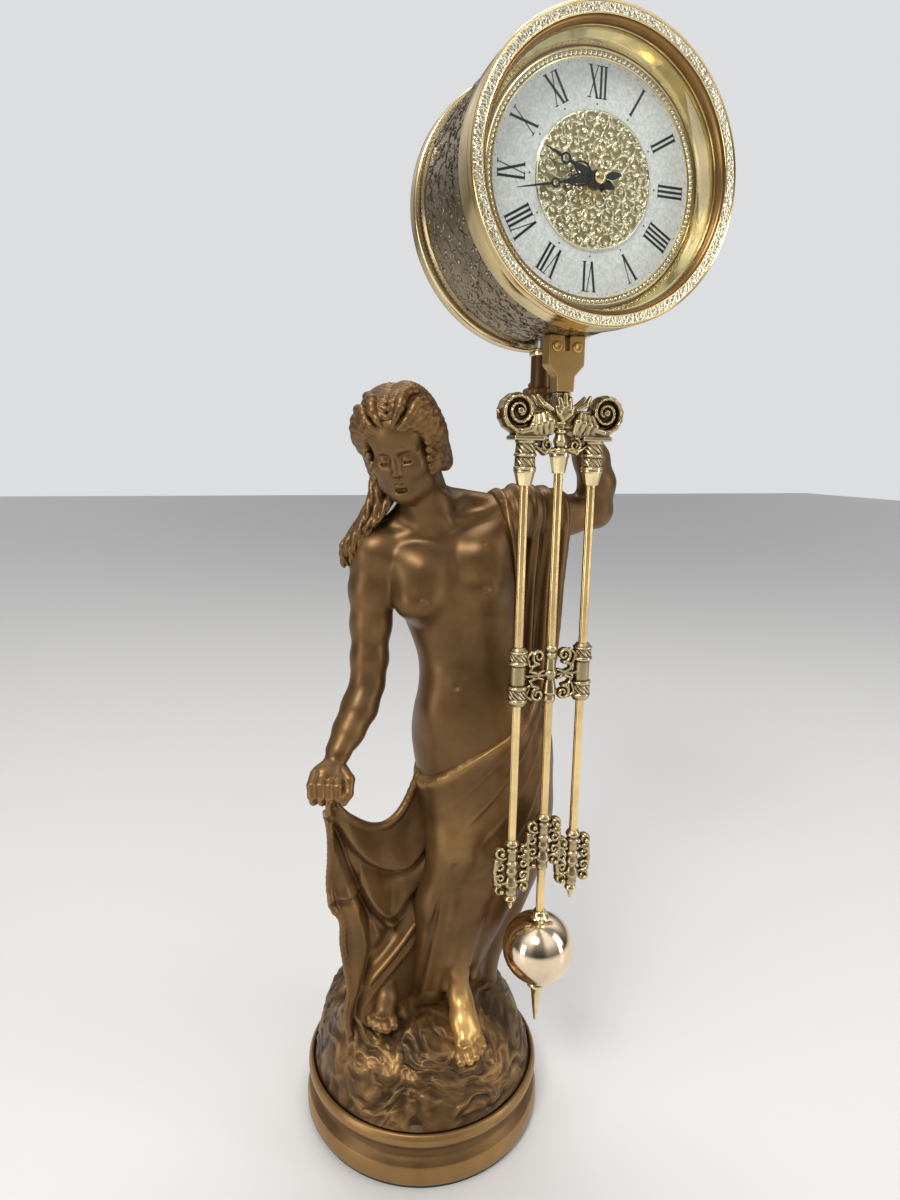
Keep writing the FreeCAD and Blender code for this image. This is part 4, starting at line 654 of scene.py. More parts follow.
skirt.sliced(SKIRT, 1.5, -6.0, skirt_folds)
skirt.rod((15, -6, 222), (15, -14, 178), 22, 15.5, 9)
skirt.rod((15, -14, 178), (5, -12, 138), 15.5, 12.0, 9)
skirt.rod((5, -12, 138), (1, -8, 74), 12.0, 9.5, 9)
skirt.rod((49, -5, 222), (40, -12, 172), 25, 17.5, 9)
skirt.rod((40, -12, 172), (24, -10.8, 128), 17.5, 12.3, 9)
skirt.rod((24, -10.8, 128), (18, -14.6, 101), 12.3, 10.2, 9)
for top, foot, ra, rb in (((18, -21.5, 150), (9, -16, 82), 1.6, 3.0),
                          ((12, -22.5, 160), (2.5, -14.5, 78), 1.5, 3.0),
                          ((4, -22, 150), (-5.0, -12, 78), 1.5, 3.0),
                          ((33, -12, 132), (33, -6, 76), 4.0, 4.2),
                          ((34, -20, 150), (26.5, -14, 84), 2.0, 3.4),
                          ((24, -21.5, 140), (13.5, -19.0, 93), 1.5, 2.4)):
    skirt.rod(top, foot, ra, rb, 2.2)
for top, foot, ra, rb in (((22, -33, 176), (11.5, -24, 88), 1.0, 2.6),
                          ((8, -30, 168), (-1.5, -20.5, 82), 1.0, 2.4),
                          ((40, -36, 178), (24.5, -21, 90), 1.0, 2.4),
                          ((2, -26, 150), (-9, -13, 80), 1.0, 2.6)):
    skirt.rod(top, foot, ra, rb, 3.0, True)


def edge_height(x, level):
    """The cloth's slanting upper edge."""
    return level + 0.72 * (x + 3) + 2.0 * np.sin((x + 6) / 11.0)


def above_edge(x, y, z):
    """Everything above the upper edge."""
    return -(z - (edge_height(x, 217.0) + 0 * y)) * 0.86


skirt.put(above_edge, (-60, -60, 190), (90, 40, 276), 2.2, True)
edge_points = [(x, -4 - 31.2 * math.sqrt(max(0.0, 1 - ((x - 32) / 41.0) ** 2)) * (0.90 - 0.0028 * (x + 3)),
                edge_height(x, 215.6)) for x in np.linspace(-4, 62, 14)]
skirt.chain(edge_points, [1.5] * 14, 2.0)


def toes(x, spread, y, z, thick, bend, tips):
    """Five toes from the ball of a foot, which starts at x, y and z, to their tips."""
    for toe, (tx, ty, tz, tr) in enumerate(tips):
        skirt.chain([(x + spread * toe, y, z), (tx, ty + bend, tz + 1.6), (tx, ty, tz)],
                    [thick - 0.2 * toe, tr, tr], 1.2)


# shin and foot that come out under the hem, then the other foot
skirt.chain([(16.8, -17.0, 102), (16.2, -19.4, 92), (16, -20.5, 80)], [6.6, 6.3, 6.2], 1.0)
skirt.ball((17.5, -14.5, 72), 6.5, 4)
skirt.chain([(16, -22, 78), (14, -32, 69.5), (12.5, -40, 63.5)], [6.8, 6.6, 5.6], 4)
skirt.chain([(18.5, -24, 74), (19, -36, 64.5)], [5.8, 5.6], 4)
toes(9.5, 2.9, -39.5, 63.0, 3.0, 3.5, ((7.0, -50.0, 58.0, 3.1), (12.2, -51.4, 58.6, 2.4),
                                       (16.4, -50.4, 59.3, 2.2),
                                      (20.0, -48.2, 60.0, 2.05), (23.0, -45.4, 60.8, 1.95)))
skirt.ball((16, -15, 84), 3.0, 3)
skirt.chain([(-6, 2, 132), (-19, -1, 106), (-25.5, -5, 90)], [9.5, 7.2, 6.0], 3)
skirt.chain([(-25.5, -6, 90), (-28, -14.5, 82.5), (-31.0, -20, 77.5)], [6.4, 6.6, 6.0], 4)
toes(-27.0, -2.3, -20.5, 77.5, 2.8, 3.0, ((-26.6, -29.0, 74.0, 2.8), (-31.0, -30.4, 73.4, 2.3),
                                         (-34.4, -29.2, 73.6, 2.1), (-37.4, -27.0, 74.2, 2.0),
                                         (-39.8, -24.2, 75.0, 1.9)))


def skirt_rub_and_highlight(p):
    """Lighter on the rubbed forward foot and on the front of the upper edge; a painted highlight lightens the
    front of the knee.
    """
    foot = np.exp(-(((p[:, 0] - 14) / 14) ** 2 + ((p[:, 1] + 36) / 20) ** 2 + ((p[:, 2] - 70) / 30) ** 2))
    edge = np.exp(-((p[:, 2] - edge_height(p[:, 0], 216)) / 4.0) ** 2)
    # painted highlight: a lighter patch on the front of the knee
    knee = np.exp(-((p[:, 0] - 12) ** 2 + (p[:, 2] - 184) ** 2) / 420.0)
    front = (p[:, 1] < 4)
    return 0.85 * foot + (0.28 * edge + 0.25 * knee) * front


figure_piece("skirt_and_feet", skirt, ("figure_body",), 0.15, 0.0, skirt_rub_and_highlight)

# cloth held in the lowered hand

def through_points(points):
    """A smooth curve through the points, level past its ends."""
    points = np.array(sorted(points), float)
    return lambda x: smooth_interp(np.clip(x, points[0, 0], points[-1, 0]), points[:, 0], points[:, 1])


HEM = through_points([(-66, 225), (-60, 217.5), (-56.6, 212.5), (-46.5, 201.3), (-33.8, 191.8),
                      (-25, 190.6), (-13.6, 199.3),
                      (-6.8, 212), (-2, 222), (5, 233)])
SWAG_LEFT = through_points([(213, -64.5), (201, -62.3), (181, -61.6), (155, -61.5), (149, -60),
                            (144, -56.5), (125, -54.6),
                            (107, -52.2), (97, -51.2), (84, -54), (66, -52)])
LONG_PLEAT = through_points([(213, -63), (189, -56.9), (159, -47.9), (132, -41.6), (122, -40.6),
                             (108, -42.5), (96, -46.2), (84, -51), (66, -54)])
# each fold: its ridge in x and z, height, reach above and below the ridge
FOLDS = (
    (through_points([(-62, 214), (-57.7, 206.9), (-49.7, 192), (-38.2, 175.4), (-27.2, 165.5), (-18.1, 161.6),
                     (-11.1, 162.3), (-4, 168.7), (0.7, 174.9), (9, 190)]), 4.6, 13.0, 2.3),
    (through_points([(-62, 212), (-55.8, 199.2), (-47.8, 175.8), (-36.1, 148.8), (-29.5, 138.4),
                     (-21.5, 133.9), (-13.3, 140.7), (-3.8, 150.6), (7, 167.1)]), 4.6, 11.0, 2.4),
    (through_points([(-44, 157), (-39.4, 148), (-30.6, 134.4), (-21.4, 124.3), (-15.6, 125.8),
                     (-6.1, 137.9), (2, 152)]),
     3.4, 4.6, 2.2),
)
LOW_FOLD = through_points([(-60, 82), (-52.9, 87.7), (-41.9, 96.9), (-24.9, 109.3), (-14.4, 118.2),
                           (-4, 129)])


def steepness(curve, at):
    """How much longer the curve is than its run."""
    return np.sqrt(1 + np.clip((curve(at + 0.5) - curve(at - 0.5)), -2.6, 2.6) ** 2)


def swag_front(x, z):
    """How far back the front of the cloth lies."""
    front = -21.5 + 0.33 * (x + 60) - 0.05 * np.clip(96 - z, 0, 30) * np.clip((-20 - x) / 20, 0, 1) * 4
    for line, height, up, down in FOLDS:
        off = (z - line(x)) / steepness(line, x)
        lift = np.where(off > 0, np.exp(-(off / up) ** 2), np.exp(-(off / down) ** 2))
        front = front - height * lift + 2.4 * np.exp(-((off + 1.9 * down) / (1.4 * down)) ** 2)
    off = (x - LONG_PLEAT(z)) / steepness(LONG_PLEAT, z)
    pleat = np.where(off < 0, np.exp(-(off / 9.0) ** 2), np.exp(-(off / 2.0) ** 2))
    front = front - 4.6 * pleat + 2.4 * np.exp(-((off - 4.4) / 2.6) ** 2)
    front = front + 1.4 * np.exp(-((off + 9.5) / 3.0) ** 2)
    off = (z - LOW_FOLD(x)) / steepness(LOW_FOLD, x)
    below = 1 / (1 + np.exp(off * 1.6))
    side = np.clip((x + 46) / 8, 0, 1)
    front = front - side * (3.6 * below + 2.2 * np.exp(-((off + 1.5) / 2.6) ** 2) - 2.6
                            * np.exp(-((off - 6) / 5) ** 2))
    front = front - side * 1.2 * np.exp(-((off + 9) / 2.4) ** 2)
    return front


swag = Clay((-70, -42, 62), (16, 16, 236), 0.66)


def swag_shape(x, y, z):
    front = swag_front(x, z) + 0 * y
    d = np.maximum(front - y, y - front - 5.0) * 0.62
    top = (z - HEM(x)) / steepness(HEM, x) + 0 * y
    return np.maximum(np.maximum(d, top), np.maximum(SWAG_LEFT(z) - x + 0 * y, x - 13.5 + 0 * y + 0 * z))


swag.put(swag_shape, (-70, -42, 64), (16, 16, 236), 1.0)
rolled = [(x, float(swag_front(np.float32(x), HEM(np.float32(x)))) + 1.4, float(HEM(np.float32(x))) - 0.3)
          for x in np.linspace(-62, 4, 34)]
swag.chain(rolled, [1.9] * 34, 1.6)
side_edge = [(float(SWAG_LEFT(np.float32(z))) + 0.9, float(swag_front(SWAG_LEFT(np.float32(z)),
                                                                      np.float32(z))) + 1.6, z)
             for z in np.linspace(214, 70, 40)]
swag.chain(side_edge, [1.7] * 40, 1.4)
figure_piece("held_swag", swag, ("hand_swag",), 0.17, 0.02)

# cloth over the raised shoulder

over = Clay((34, -32, 208), (92, 24, 386), 0.76)
DRAPE_FRONT = through_points([(214, -5.0), (300, -7.0), (330, -9.5), (350, -13.0), (364, -14.6),
                              (374, -12.0), (382, -4.0)])
DRAPE_BACK = through_points([(214, 8.0), (330, 9.5), (356, 13.0), (372, 12.0), (382, 6.0)])


def below_cloth(x, y, z):
    """Distance to the body under the cloth."""
    grid = np.broadcast_arrays(x, y, z)
    spots = np.stack([g.ravel() for g in grid], 1)
    gaps = [clay.at(clay.field, (spots - clay.low) / clay.step) for clay in (skin, high)]
    return np.minimum(*gaps).reshape(grid[0].shape)


def over_shape(x, y, z):
    waves = np.sin(2 * np.pi * (x - 40 + 0.03 * (z - 300)) / 9.2)
    waves = waves + 0.35 * np.sin(2 * np.pi * (x - 40) / 4.1 + 1.0)
    front = DRAPE_FRONT(z) - 1.9 * waves
    back = DRAPE_BACK(z) - 1.6 * waves
    left_edge = 45.5 + 2.5 * np.sin((z - 240) / 38.0) - 7.0 * np.clip((z - 318) / 50, 0, 1) - x + 0 * y
    right_edge = x - (82.5 - 0.05 * (377 - z) + 2.0 * np.sin((z - 200) / 50.0))
    slab = np.maximum(np.maximum(front - y, y - back), (z - 374) * 0.8)
    laid = np.maximum(below_cloth(x, y, z) - 2.0 - 0.75 * waves, 306 - z)
    d = np.minimum(slab, laid)
    return np.maximum(np.maximum(d, np.maximum(left_edge, right_edge)), 214 - z) * 0.75


over.put(over_shape, (34, -30, 208), (92, 22, 382), 1.0)
figure_piece("shoulder_drape", over, ("shoulder_cloth",), 0.17, 0.03)

# head and hair

HEAD = np.array((-17.5, -11.0, 402.0))
yaw, pitch, roll = math.radians(-31), math.radians(20), math.radians(7)
forward = np.array((math.sin(yaw) * math.cos(pitch), -math.cos(yaw) * math.cos(pitch), -math.sin(pitch)))
sideways = np.cross(forward, (0, 0, 1.0))
sideways /= np.linalg.norm(sideways)
upward = np.cross(sideways, forward)
sideways, upward = (sideways * math.cos(roll) - upward * math.sin(roll),
                    sideways * math.sin(roll) + upward * math.cos(roll))
if sideways[0] < 0:
    sideways = -sideways
HEAD_TURN = np.stack([sideways, forward, upward], 1)


def on_head(a, b, c):
    """A place on the head: to the viewer's right, forward out of the face, up."""
    return HEAD + sideways * a + forward * b + upward * c


def head_oval(clay, centre, radii, soft, carve=False):
    clay.ellipsoid(on_head(*centre), radii, soft, HEAD_TURN, carve)


def head_chain(clay, points, radii, soft, carve=False):
    clay.chain([on_head(*p) for p in points], radii, soft, carve)


face = Clay((-52, -48, 360), (20, 30, 440), 0.37)
head_oval(face, (0, -2.5, 10), (17.2, 20.5, 17.5), 2)
head_oval(face, (0, 3.0, -4), (14.0, 15.4, 17.0), 5)
head_oval(face, (0, 7.6, -11.5), (11.2, 10.6, 11.5), 5)
head_oval(face, (0, 13.6, -19.8), (4.6, 3.9, 4.2), 5)
for side in (-1, 1):
    head_oval(face, (side * 7.6, 11.2, -6.4), (6.0, 5.4, 6.4), 5)
    head_chain(face, [(side * 12.4, -1, -9.5), (side * 9.0, 7, -16.5), (side * 3, 13.0, -20.8)],
               [4.0, 4.0, 3.6], 6)
head_oval(face, (0, 12.2, 10.5), (12.4, 6.2, 8.4), 6)
for side in (-1, 1):
    head_chain(face, [(side * 9.0, 13.9, 3.2), (side * 4.4, 16.7, 4.1), (side * 1.6, 17.2, 2.6)],
               [1.0, 1.3, 1.4], 3.0)
for side in (-1, 1):
    head_oval(face, (side * 6.0, 19.0, 0.0), (4.0, 3.2, 2.5), 3.0, True)
    head_oval(face, (side * 6.1, 13.2, -1.1), (3.5, 3.5, 2.9), 1.4)
    head_chain(face, [(side * 9.2, 14.6, -2.2), (side * 7.4, 16.3, -2.9), (side * 5.0, 16.5, -3.0),
                      (side * 3.2, 15.4, -2.4)],
               [0.22, 0.30, 0.30, 0.22], 1.1, True)
head_chain(face, [(0, 16.0, 2.8), (0, 18.0, -2.6), (0, 20.0, -6.8)], [1.6, 1.5, 1.7], 2.4)
head_oval(face, (0, 19.7, -7.3), (1.9, 2.0, 1.6), 1.6)
for side in (-1, 1):
    head_oval(face, (side * 1.9, 17.9, -8.0), (1.3, 1.8, 1.2), 1.2)
    head_oval(face, (side * 1.0, 18.9, -9.3), (0.6, 0.8, 0.6), 0.6, True)
head_oval(face, (0, 14.0, -13.0), (5.4, 3.7, 4.4), 3.0)
head_chain(face, [(-3.5, 15.9, -12.9), (-1.3, 17.9, -12.0), (0, 17.8, -12.3), (1.3, 17.9, -12.0),
                  (3.5, 15.9, -12.9)],
           [0.7, 1.0, 0.95, 1.0, 0.7], 0.9)
head_chain(face, [(-3.0, 16.0, -14.0), (0, 17.5, -14.6), (3.0, 16.0, -14.0)], [0.8, 1.3, 0.8], 0.9)
head_chain(face, [(-3.8, 17.2, -13.3), (0, 19.6, -13.25), (3.8, 17.2, -13.3)], [0.24, 0.26, 0.24], 0.5, True)
head_oval(face, (0, 17.6, -17.2), (2.8, 1.3, 1.0), 2.2, True)
face.rod((4, -2, 352), (-12, -9, 394), 13.2, 11.8, 6)
face.rod((1, -12, 363), (-23, -1, 392), 2.0, 2.6, 7)
face.rod((5, -12, 365), (1, -3, 396), 2.0, 2.6, 7)
figure_piece("face", face, (), 0.10, 0.06, None, lambda c: c[:, 2] > 371)

hair = Clay((-54, -46, 366), (22, 34, 444), 0.44)
head_oval(hair, (0, -4.5, 10.5), (19.0, 20.6, 18.4), 2)
head_oval(hair, (1, -18, 0), (12.5, 11.0, 14.5), 6)


def hair_line(side, k, count):
    """One strand: from the parting, waving over the temple and back to the nape."""
    t = k / (count - 1)
    start_b = 15.0 - 28.0 * t
    points = []
    radii = []
    for s in np.linspace(0, 1, 20):
        sweep = math.radians(5 + 120 * s - 16 * t * s)
        back = -30 * s ** 1.3 * (1.0 - 0.5 * t) - 2 * t
        ring = math.sqrt(max(0.10, 1 - ((start_b + back + 3.5) / 21.8) ** 2))
        wave = 1.0 + 0.045 * math.sin(s * 12.0 + k * 0.8) + 0.08 * math.sin(math.pi * min(1, s * 1.4))
        points.append((side * 19.4 * ring * math.sin(sweep) * wave, start_b + back,
                       10.0 + 19.6 * ring * math.cos(sweep) * wave))
        radii.append(1.75 - 0.45 * s)
    return points, radii


STRAND_COUNT = 12
for side in (-1, 1):
    for k in range(STRAND_COUNT):
        lock, lock_radii = hair_line(side, k, STRAND_COUNT)
        head_chain(hair, lock, lock_radii, 0.9)
    for k in range(7):
        rise = 9.5 - 3.3 * k
        line = []
        for step in np.linspace(0, 1, 14):
            bulge = math.sin(math.pi * (0.16 + 0.70 * step))
            line.append((side * (12.6 + (7.4 - 0.35 * abs(k - 3)) * bulge + 0.8 * math.sin(step * 12 + k)),
                         10.5 - 0.3 * k - 29 * step,
                         rise - 4.5 * step + 1.7 * math.sin(step * 10.5 + 0.9 * k)))
        head_chain(hair, line, [2.1 + 0.9 * math.sin(math.pi * step) for step in np.linspace(0, 1, 14)], 0.8)
for k in range(9):
    around_back = math.radians(-160 + 17.5 * k)
    line = [(1 + 14.5 * math.cos(around_back) * w, -15 + 14.5 * math.sin(around_back) * w,
             c + 1.2 * math.sin(k + c * 0.6))
            for w, c in ((0.8, 14), (1.0, 8), (1.08, 2), (1.02, -4), (0.9, -10), (0.7, -15))]
    head_chain(hair, line, [2.2, 2.7, 2.9, 2.8, 2.5, 1.8], 0.8)
head_oval(hair, (0, 24, -9.0), (12.6, 17.5, 19.6), 1.2, True)
HAIRLINE = np.array(((1.2, 17.6, 13.4), (5.0, 17.0, 13.6), (9.0, 15.0, 12.2), (12.2, 12.0, 9.0),
                     (14.4, 8.6, 4.6), (15.8, 5.6, -0.6), (16.4, 3.0, -5.6), (15.6, 0.8, -10.4)))
for side in (-1, 1):
    for u in np.linspace(0, 7, 13):
        a, b, c = (np.interp(u, np.arange(8), HAIRLINE[:, k]) for k in range(3))
        turn_from_top = math.atan2(a, c - 10.0)
        line = []
        for step, lift in zip(np.linspace(0, 1, 9), (0.2, 2.0, 3.2, 3.9, 4.2, 4.0, 3.4, 2.6, 1.8)):
            back_at = b - 22.0 * step
            ring = math.sqrt(max(0.02, 1 - ((back_at + 3.5) / 21.6) ** 2))
            around = turn_from_top * (1 - 0.10 * step) + 0.34 * step + 0.07 * math.sin(9 * step + u)
            spot = np.array((19.0 * ring * math.sin(around), back_at + 3.5, 19.2 * ring * math.cos(around)))
            normal = spot / np.array((361.0, 466.0, 369.0))
            normal /= np.linalg.norm(normal)
            spot = spot + normal * (lift + 0.5 * math.sin(10 * step + 1.3 * u))
            line.append((side * spot[0], spot[1] - 3.5, spot[2] + 10.0))
        head_chain(hair, line, [0.8, 1.7, 2.3, 2.6, 2.6, 2.4, 2.1, 1.7, 1.2], 1.3)
hair.rod((4, -2, 340), (-12, -9, 389), 12.0, 9.5, 1.5, True)
figure_piece("hair", hair, ("figure_head",), 0.14, 0.08)

locks = Clay((-54, -16, 334), (14, 26, 402), 0.52)
STRANDS = (
    ([(-22, 6, 398), (-29, 4, 386), (-31, 2, 376), (-34, 0, 366), (-40, -2, 357), (-43, -2, 348),
      (-42, 1, 341)], 2.7, 0.0),
    ([(-18, 9, 398), (-25, 8, 386), (-29, 6, 375), (-36, 5, 364), (-43, 4, 354), (-45, 5, 345),
      (-43, 8, 340)], 2.9, 1.2),
    ([(-14, 12, 396), (-20, 12, 385), (-26, 11, 374), (-33, 10, 364), (-40, 10, 356), (-45, 10, 349),
      (-45, 12, 343)], 3.0, 2.2),
    ([(-10, 14, 394), (-15, 15, 383), (-21, 15, 373), (-28, 15, 364), (-36, 15, 357), (-41, 15, 351)], 3.0,
     3.1),
    ([(-25, 0, 392), (-29, -2, 382), (-29, -4, 373), (-32, -5, 365), (-37, -6, 359)], 2.0, 4.4),
    ([(-17, 2, 400), (-20.5, 1.5, 388), (-22.5, 1, 377), (-27.5, 0.5, 366), (-34, -1.5, 358),
      (-40, -2, 350)], 3.4, 1.9),
    ([(-14, 8, 398), (-17, 8, 386), (-20, 7.5, 375), (-25.5, 7, 365), (-33, 6.5, 357), (-41, 6, 348)], 3.6,
     2.7),
    ([(-18, -3, 396), (-21.5, -3.5, 386), (-22.5, -4.5, 377), (-26.5, -5.5, 368), (-32.5, -6, 361)], 2.6,
     3.7),
    ([(-24, 4, 392), (-27.5, 3, 382), (-30, 2, 372), (-37, 1, 361), (-44, 1, 352), (-46.5, 3, 344),
      (-45, 6, 338)], 3.0, 0.6),
    ([(-4, 14, 394), (2, 13, 385), (5, 11, 377), (9, 9, 371)], 2.6, 5.0),
    ([(-2, 10, 396), (5, 8, 386), (9, 6, 378), (14, 5, 371)], 2.4, 4.2),
    ([(-6, 16, 392), (-2, 17, 382), (2, 16, 374), (7, 14, 368)], 2.8, 0.7),
)
for path, radius, phase in STRANDS:
    path = np.array(path, float)
    s = np.linspace(0, len(path) - 1, 30)
    line = np.stack([np.interp(s, np.arange(len(path)), path[:, k]) for k in range(3)], 1)
    for twist in (0.0, 2.1, 4.2):
        swing = s * 2.3 + phase + twist
        offset = np.stack([np.cos(swing), 0.8 * np.sin(swing), 0.3 * np.cos(swing)], 1) * radius * 0.50
        taper = radius * (0.62 - 0.30 * (s / s.max()) ** 2)
        locks.chain(line + offset, taper, 0.7)
figure_piece("long_locks", locks, ("hair_locks",), 0.14, 0.06)

# rock and foot

turns_count, rows_count = 520, 150
theta = full_turn(turns_count)
t = np.linspace(0, 1, rows_count)
ROCK_T = [0.0, 0.12, 0.30, 0.50, 0.68, 0.82, 0.93, 1.0]
ROCK_R = [66.8, 65.2, 62.6, 58.0, 50.5, 40.0, 24.0, 0.6]
ROCK_Z = [33.0, 38.5, 47.0, 56.0, 64.5, 71.0, 74.6, 75.6]
ROCK_X = [0.0, 0.0, -1.0, -2.7, -4.5, -5.5, -6.0, -6.0]
ROCK_Y = [0.0, 0.0, 1.5, 4.0, 7.0, 9.0, 10.0, 10.0]
rock_r, rock_z, rock_x, rock_y = (np.interp(t, ROCK_T, values) for values in (ROCK_R, ROCK_Z, ROCK_X, ROCK_Y))
rear_side = np.clip(0.5 + 0.5 * np.cos(theta - math.radians(35)), 0, 1)
steep = rear_side[:, None] * np.interp(t, [0, 0.3, 0.75, 0.93, 1], [0, 1, 11, 16, 0])[None, :]
rock_r = rock_r[None, :] + steep
base = np.stack([rock_x[None, :] + np.cos(theta)[:, None] * rock_r,
                 rock_y[None, :] + np.sin(theta)[:, None] * rock_r,
                 np.repeat(rock_z[None, :], turns_count, 0)], -1)
warp = np.stack([cloud_noise(base + shift, 30.0, 3) for shift in (40.0, 90.0, 140.0)], -1)
strokes = cloud_noise((base + warp * 26.0) * np.array((1.0, 1.0, 2.6)), 11.0, 4)
ridges = 1 - np.abs(cloud_noise((base + warp * 34.0) * np.array((1, 1, 2.0)) + 200.0, 19.0, 3)) * 4.2
lumps = cloud_noise(base + 300.0, 34.0, 2)
seat = np.clip(t / 0.06, 0, 1)[None, :]
push = seat * (1.3 * strokes + 0.9 * ridges.clip(-0.3, 1) + 2.4 * lumps - 0.8)
outward = np.stack([np.cos(theta)[:, None] * (1 - 0.75 * t), np.sin(theta)[:, None] * (1 - 0.75 * t),
                    np.repeat((0.15 + 0.85 * t)[None, :], turns_count, 0)], -1)
rock_points = base + outward * push[..., None]
left_heap = 15.0 * np.exp(-((base[..., 0] + 50) / 12) ** 2 - ((base[..., 1] + 14) / 15) ** 2)
under_toes = 3.2 * np.exp(-((base[..., 0] - 15) / 14) ** 2 - ((base[..., 1] + 46) / 11) ** 2)
under_toes += 2.0 * np.exp(-((base[..., 0] + 33) / 10) ** 2 - ((base[..., 1] + 28) / 8) ** 2)
rock_points[..., 2] = np.minimum(rock_points[..., 2] + seat * (left_heap - under_toes), 79.5)
over_edge = np.hypot(rock_points[..., 0], rock_points[..., 1])
rock_points[..., :2] *= np.minimum(1, 67.2 / np.maximum(over_edge, 1e-3))[..., None]
rock_wear = np.clip(0.34 * (ridges - 0.55).clip(-0.9, 1) + 0.50 * strokes + 0.02, -0.6, 0.7)
piece("rock", rock_points, grid_faces(turns_count, rows_count, True), "stand", bronze,
      rock_wear.ravel(),
      ("rock_mound",))

FOOT = rounded([(0.4, 1.5), (70, 1.5), (72, 3.5), (72, 10.0), (71.2, 13.6), (69.2, 16.4), (67.4, 18.4),
                (66.9, 21.0),
                (67.6, 24.0), (69.6, 25.2), (70.9, 27.6), (70.9, 30.6), (69.4, 33.0), (68.2, 33.5),
                (67.2, 32.2),
                (66.4, 31.6), (0.4, 31.6)], 0.9, 3)
foot_wear = [0.42 if 69.3 < r and (h > 25 or h < 14) and h > 3 else (-0.30 if h > 31 and r < 68.3 else 0.05)
             for r, h in FOOT]
lathe("foot", (0, 0, 0), "z", FOOT, "stand", bronze, ("base_plinth",), count=240,
      crease=50, wear_and_highlight=np.tile(foot_wear, 240))

# post and its collar, then the materials of the model's own parts that stay in sight

POST_SIDE = rounded([(0.3, 405.1), (5.5, 405.1), (5.5, 453.6), (0.3, 453.6)], 0.3)
lathe("post", POST, "z", POST_SIDE, "stand", bronze, ("support_post",), count=64, crease=45)
COLLAR = rounded([(5.45, 449.6), (6.3, 449.9), (6.5, 451.6), (6.3, 453.3), (5.45, 453.6)], 0.3)
lathe("post_ring", POST, "z", COLLAR, "stand", pale_gilt, ("post_collar",), count=64,
      crease=60, closed=True)
for label, material in (("base_felt", felt), ("knife_seat", steel), ("knife_hanger", steel),
                        ("knife_edge", steel),
                        ("swing_drive", black),
                        ("movement_case", black), ("battery", cell_skin), ("set_knob", black),
                        ("minute_arbor", steel),
                        ("hour_pipe", steel), ("dial_glass", glass), ("dial_plate", silver),
                        ("dial_nut", gilt),
                        ("case_band", antique)):
    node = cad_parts[label]
    node.data.materials.clear()
    node.data.materials.append(material)

# drum: rings of the case, each an outline of (radius, depth from the dial's middle)

RINGS = (
    ("rear_rim", "gilt_brass", pale_gilt, ("back_rim",), 0.8,
     [(60.0, 74.0), (66.3, 74.0), (67.3, 75.0), (67.3, 81.5), (66.3, 82.5), (62.0, 82.5), (62.0, 77.0),
      (60.0, 77.0)]),
    ("front_band", "gilt_brass", gilt, ("polished_band",), 0.7,
     [(62.0, 5.0), (65.0, 5.0), (65.0, 16.2), (64.2, 17.0), (62.0, 17.0)]),
    ("bezel_ring", "gilt_brass", gilt, ("bezel_flange",), 0.35,
     [(59.3, 5.0), (59.3, 1.0), (59.6, 0.6), (60.0, 0.9), (64.0, 0.9), (64.5, 0.3), (65.0, 1.1),
      (65.0, 5.0)]),
    ("recess_wall", "antique_brass", recess_brass, ("recess_ring",), 0.5,
     [(58.0, 6.4), (58.0, 7.0), (56.6, 7.2), (57.4, 8.4), (55.2, 12.6), (53.6, 16.4), (55.2, 16.4),
      (59.6, 8.6),
      (59.6, 6.4)]),
    ("recess_lip", "antique_brass", lip_bronze, (), 0.5,
     [(58.2, 6.4), (57.3, 5.6), (57.2, 3.2), (58.0, 1.4), (59.0, 0.9), (59.4, 1.6), (59.6, 6.4)]),
)
for label, slot, material, node, corner_r, outline in RINGS:
    profile = rounded(outline, corner_r)
    lathe(label, DIAL, "y", profile + [profile[0]], "swinger", material, node, count=256, crease=35)


def cell_height(u, v, size, seed):
    """Height of small facets, from the nearest scattered points."""
    rng = np.random.default_rng(seed)
    cells_u = max(int(round(u.max() / size)), 1)
    cells_v = int(math.ceil(v.max() / size)) + 2
    jitter = rng.random((cells_u, cells_v, 3))
    cu = np.floor(u / size).astype(int)
    cv = np.floor(v / size).astype(int)
    nearest = np.full(u.shape, 9.0)
    second = np.full(u.shape, 9.0)
    tone = np.zeros(u.shape)
    for du in (-1, 0, 1):
        for dv in (-1, 0, 1):
            iu = cu + du
            iv = np.clip(cv + dv, -1, cells_v - 2)
            pick = jitter[iu % cells_u, iv + 1]
            d = np.hypot(u / size - iu - pick[..., 0], v / size - iv - pick[..., 1])
            closer = d < nearest
            second = np.where(closer, nearest, np.minimum(second, d))
            tone = np.where(closer, pick[..., 2], tone)
            nearest = np.where(closer, d, nearest)
    return nearest, second, tone


# grained ring of the bezel, between its two polished edges
GRAIN_IN, GRAIN_OUT = 59.7, 63.9
around = 1500 if FINE == 1 else 700
across = 17
ang = full_turn(around)
rad = np.linspace(GRAIN_IN, GRAIN_OUT, across)
uu = np.repeat((ang * 61.6)[:, None], across, 1)
vv = np.repeat((rad - GRAIN_IN)[None, :], around, 0)
near, other, tone = cell_height(uu, vv, 0.95, 5)
grain_height = 0.42 * np.clip(1 - near, 0, 1) + 0.25 * (tone - 0.5)
edge_fade = np.clip(np.minimum(vv, 4.2 - vv) / 0.4, 0, 1)
depth = 0.92 - edge_fade * (0.10 + grain_height)
piece("bezel_grain", ring_points(DIAL, "y", rad[None, :], depth, ang), grid_faces(around, across, True),
      "swinger",
      filigree, np.clip((other - near) * 1.4 - 0.35 + 0.5 * (tone - 0.5), -1, 1).ravel())


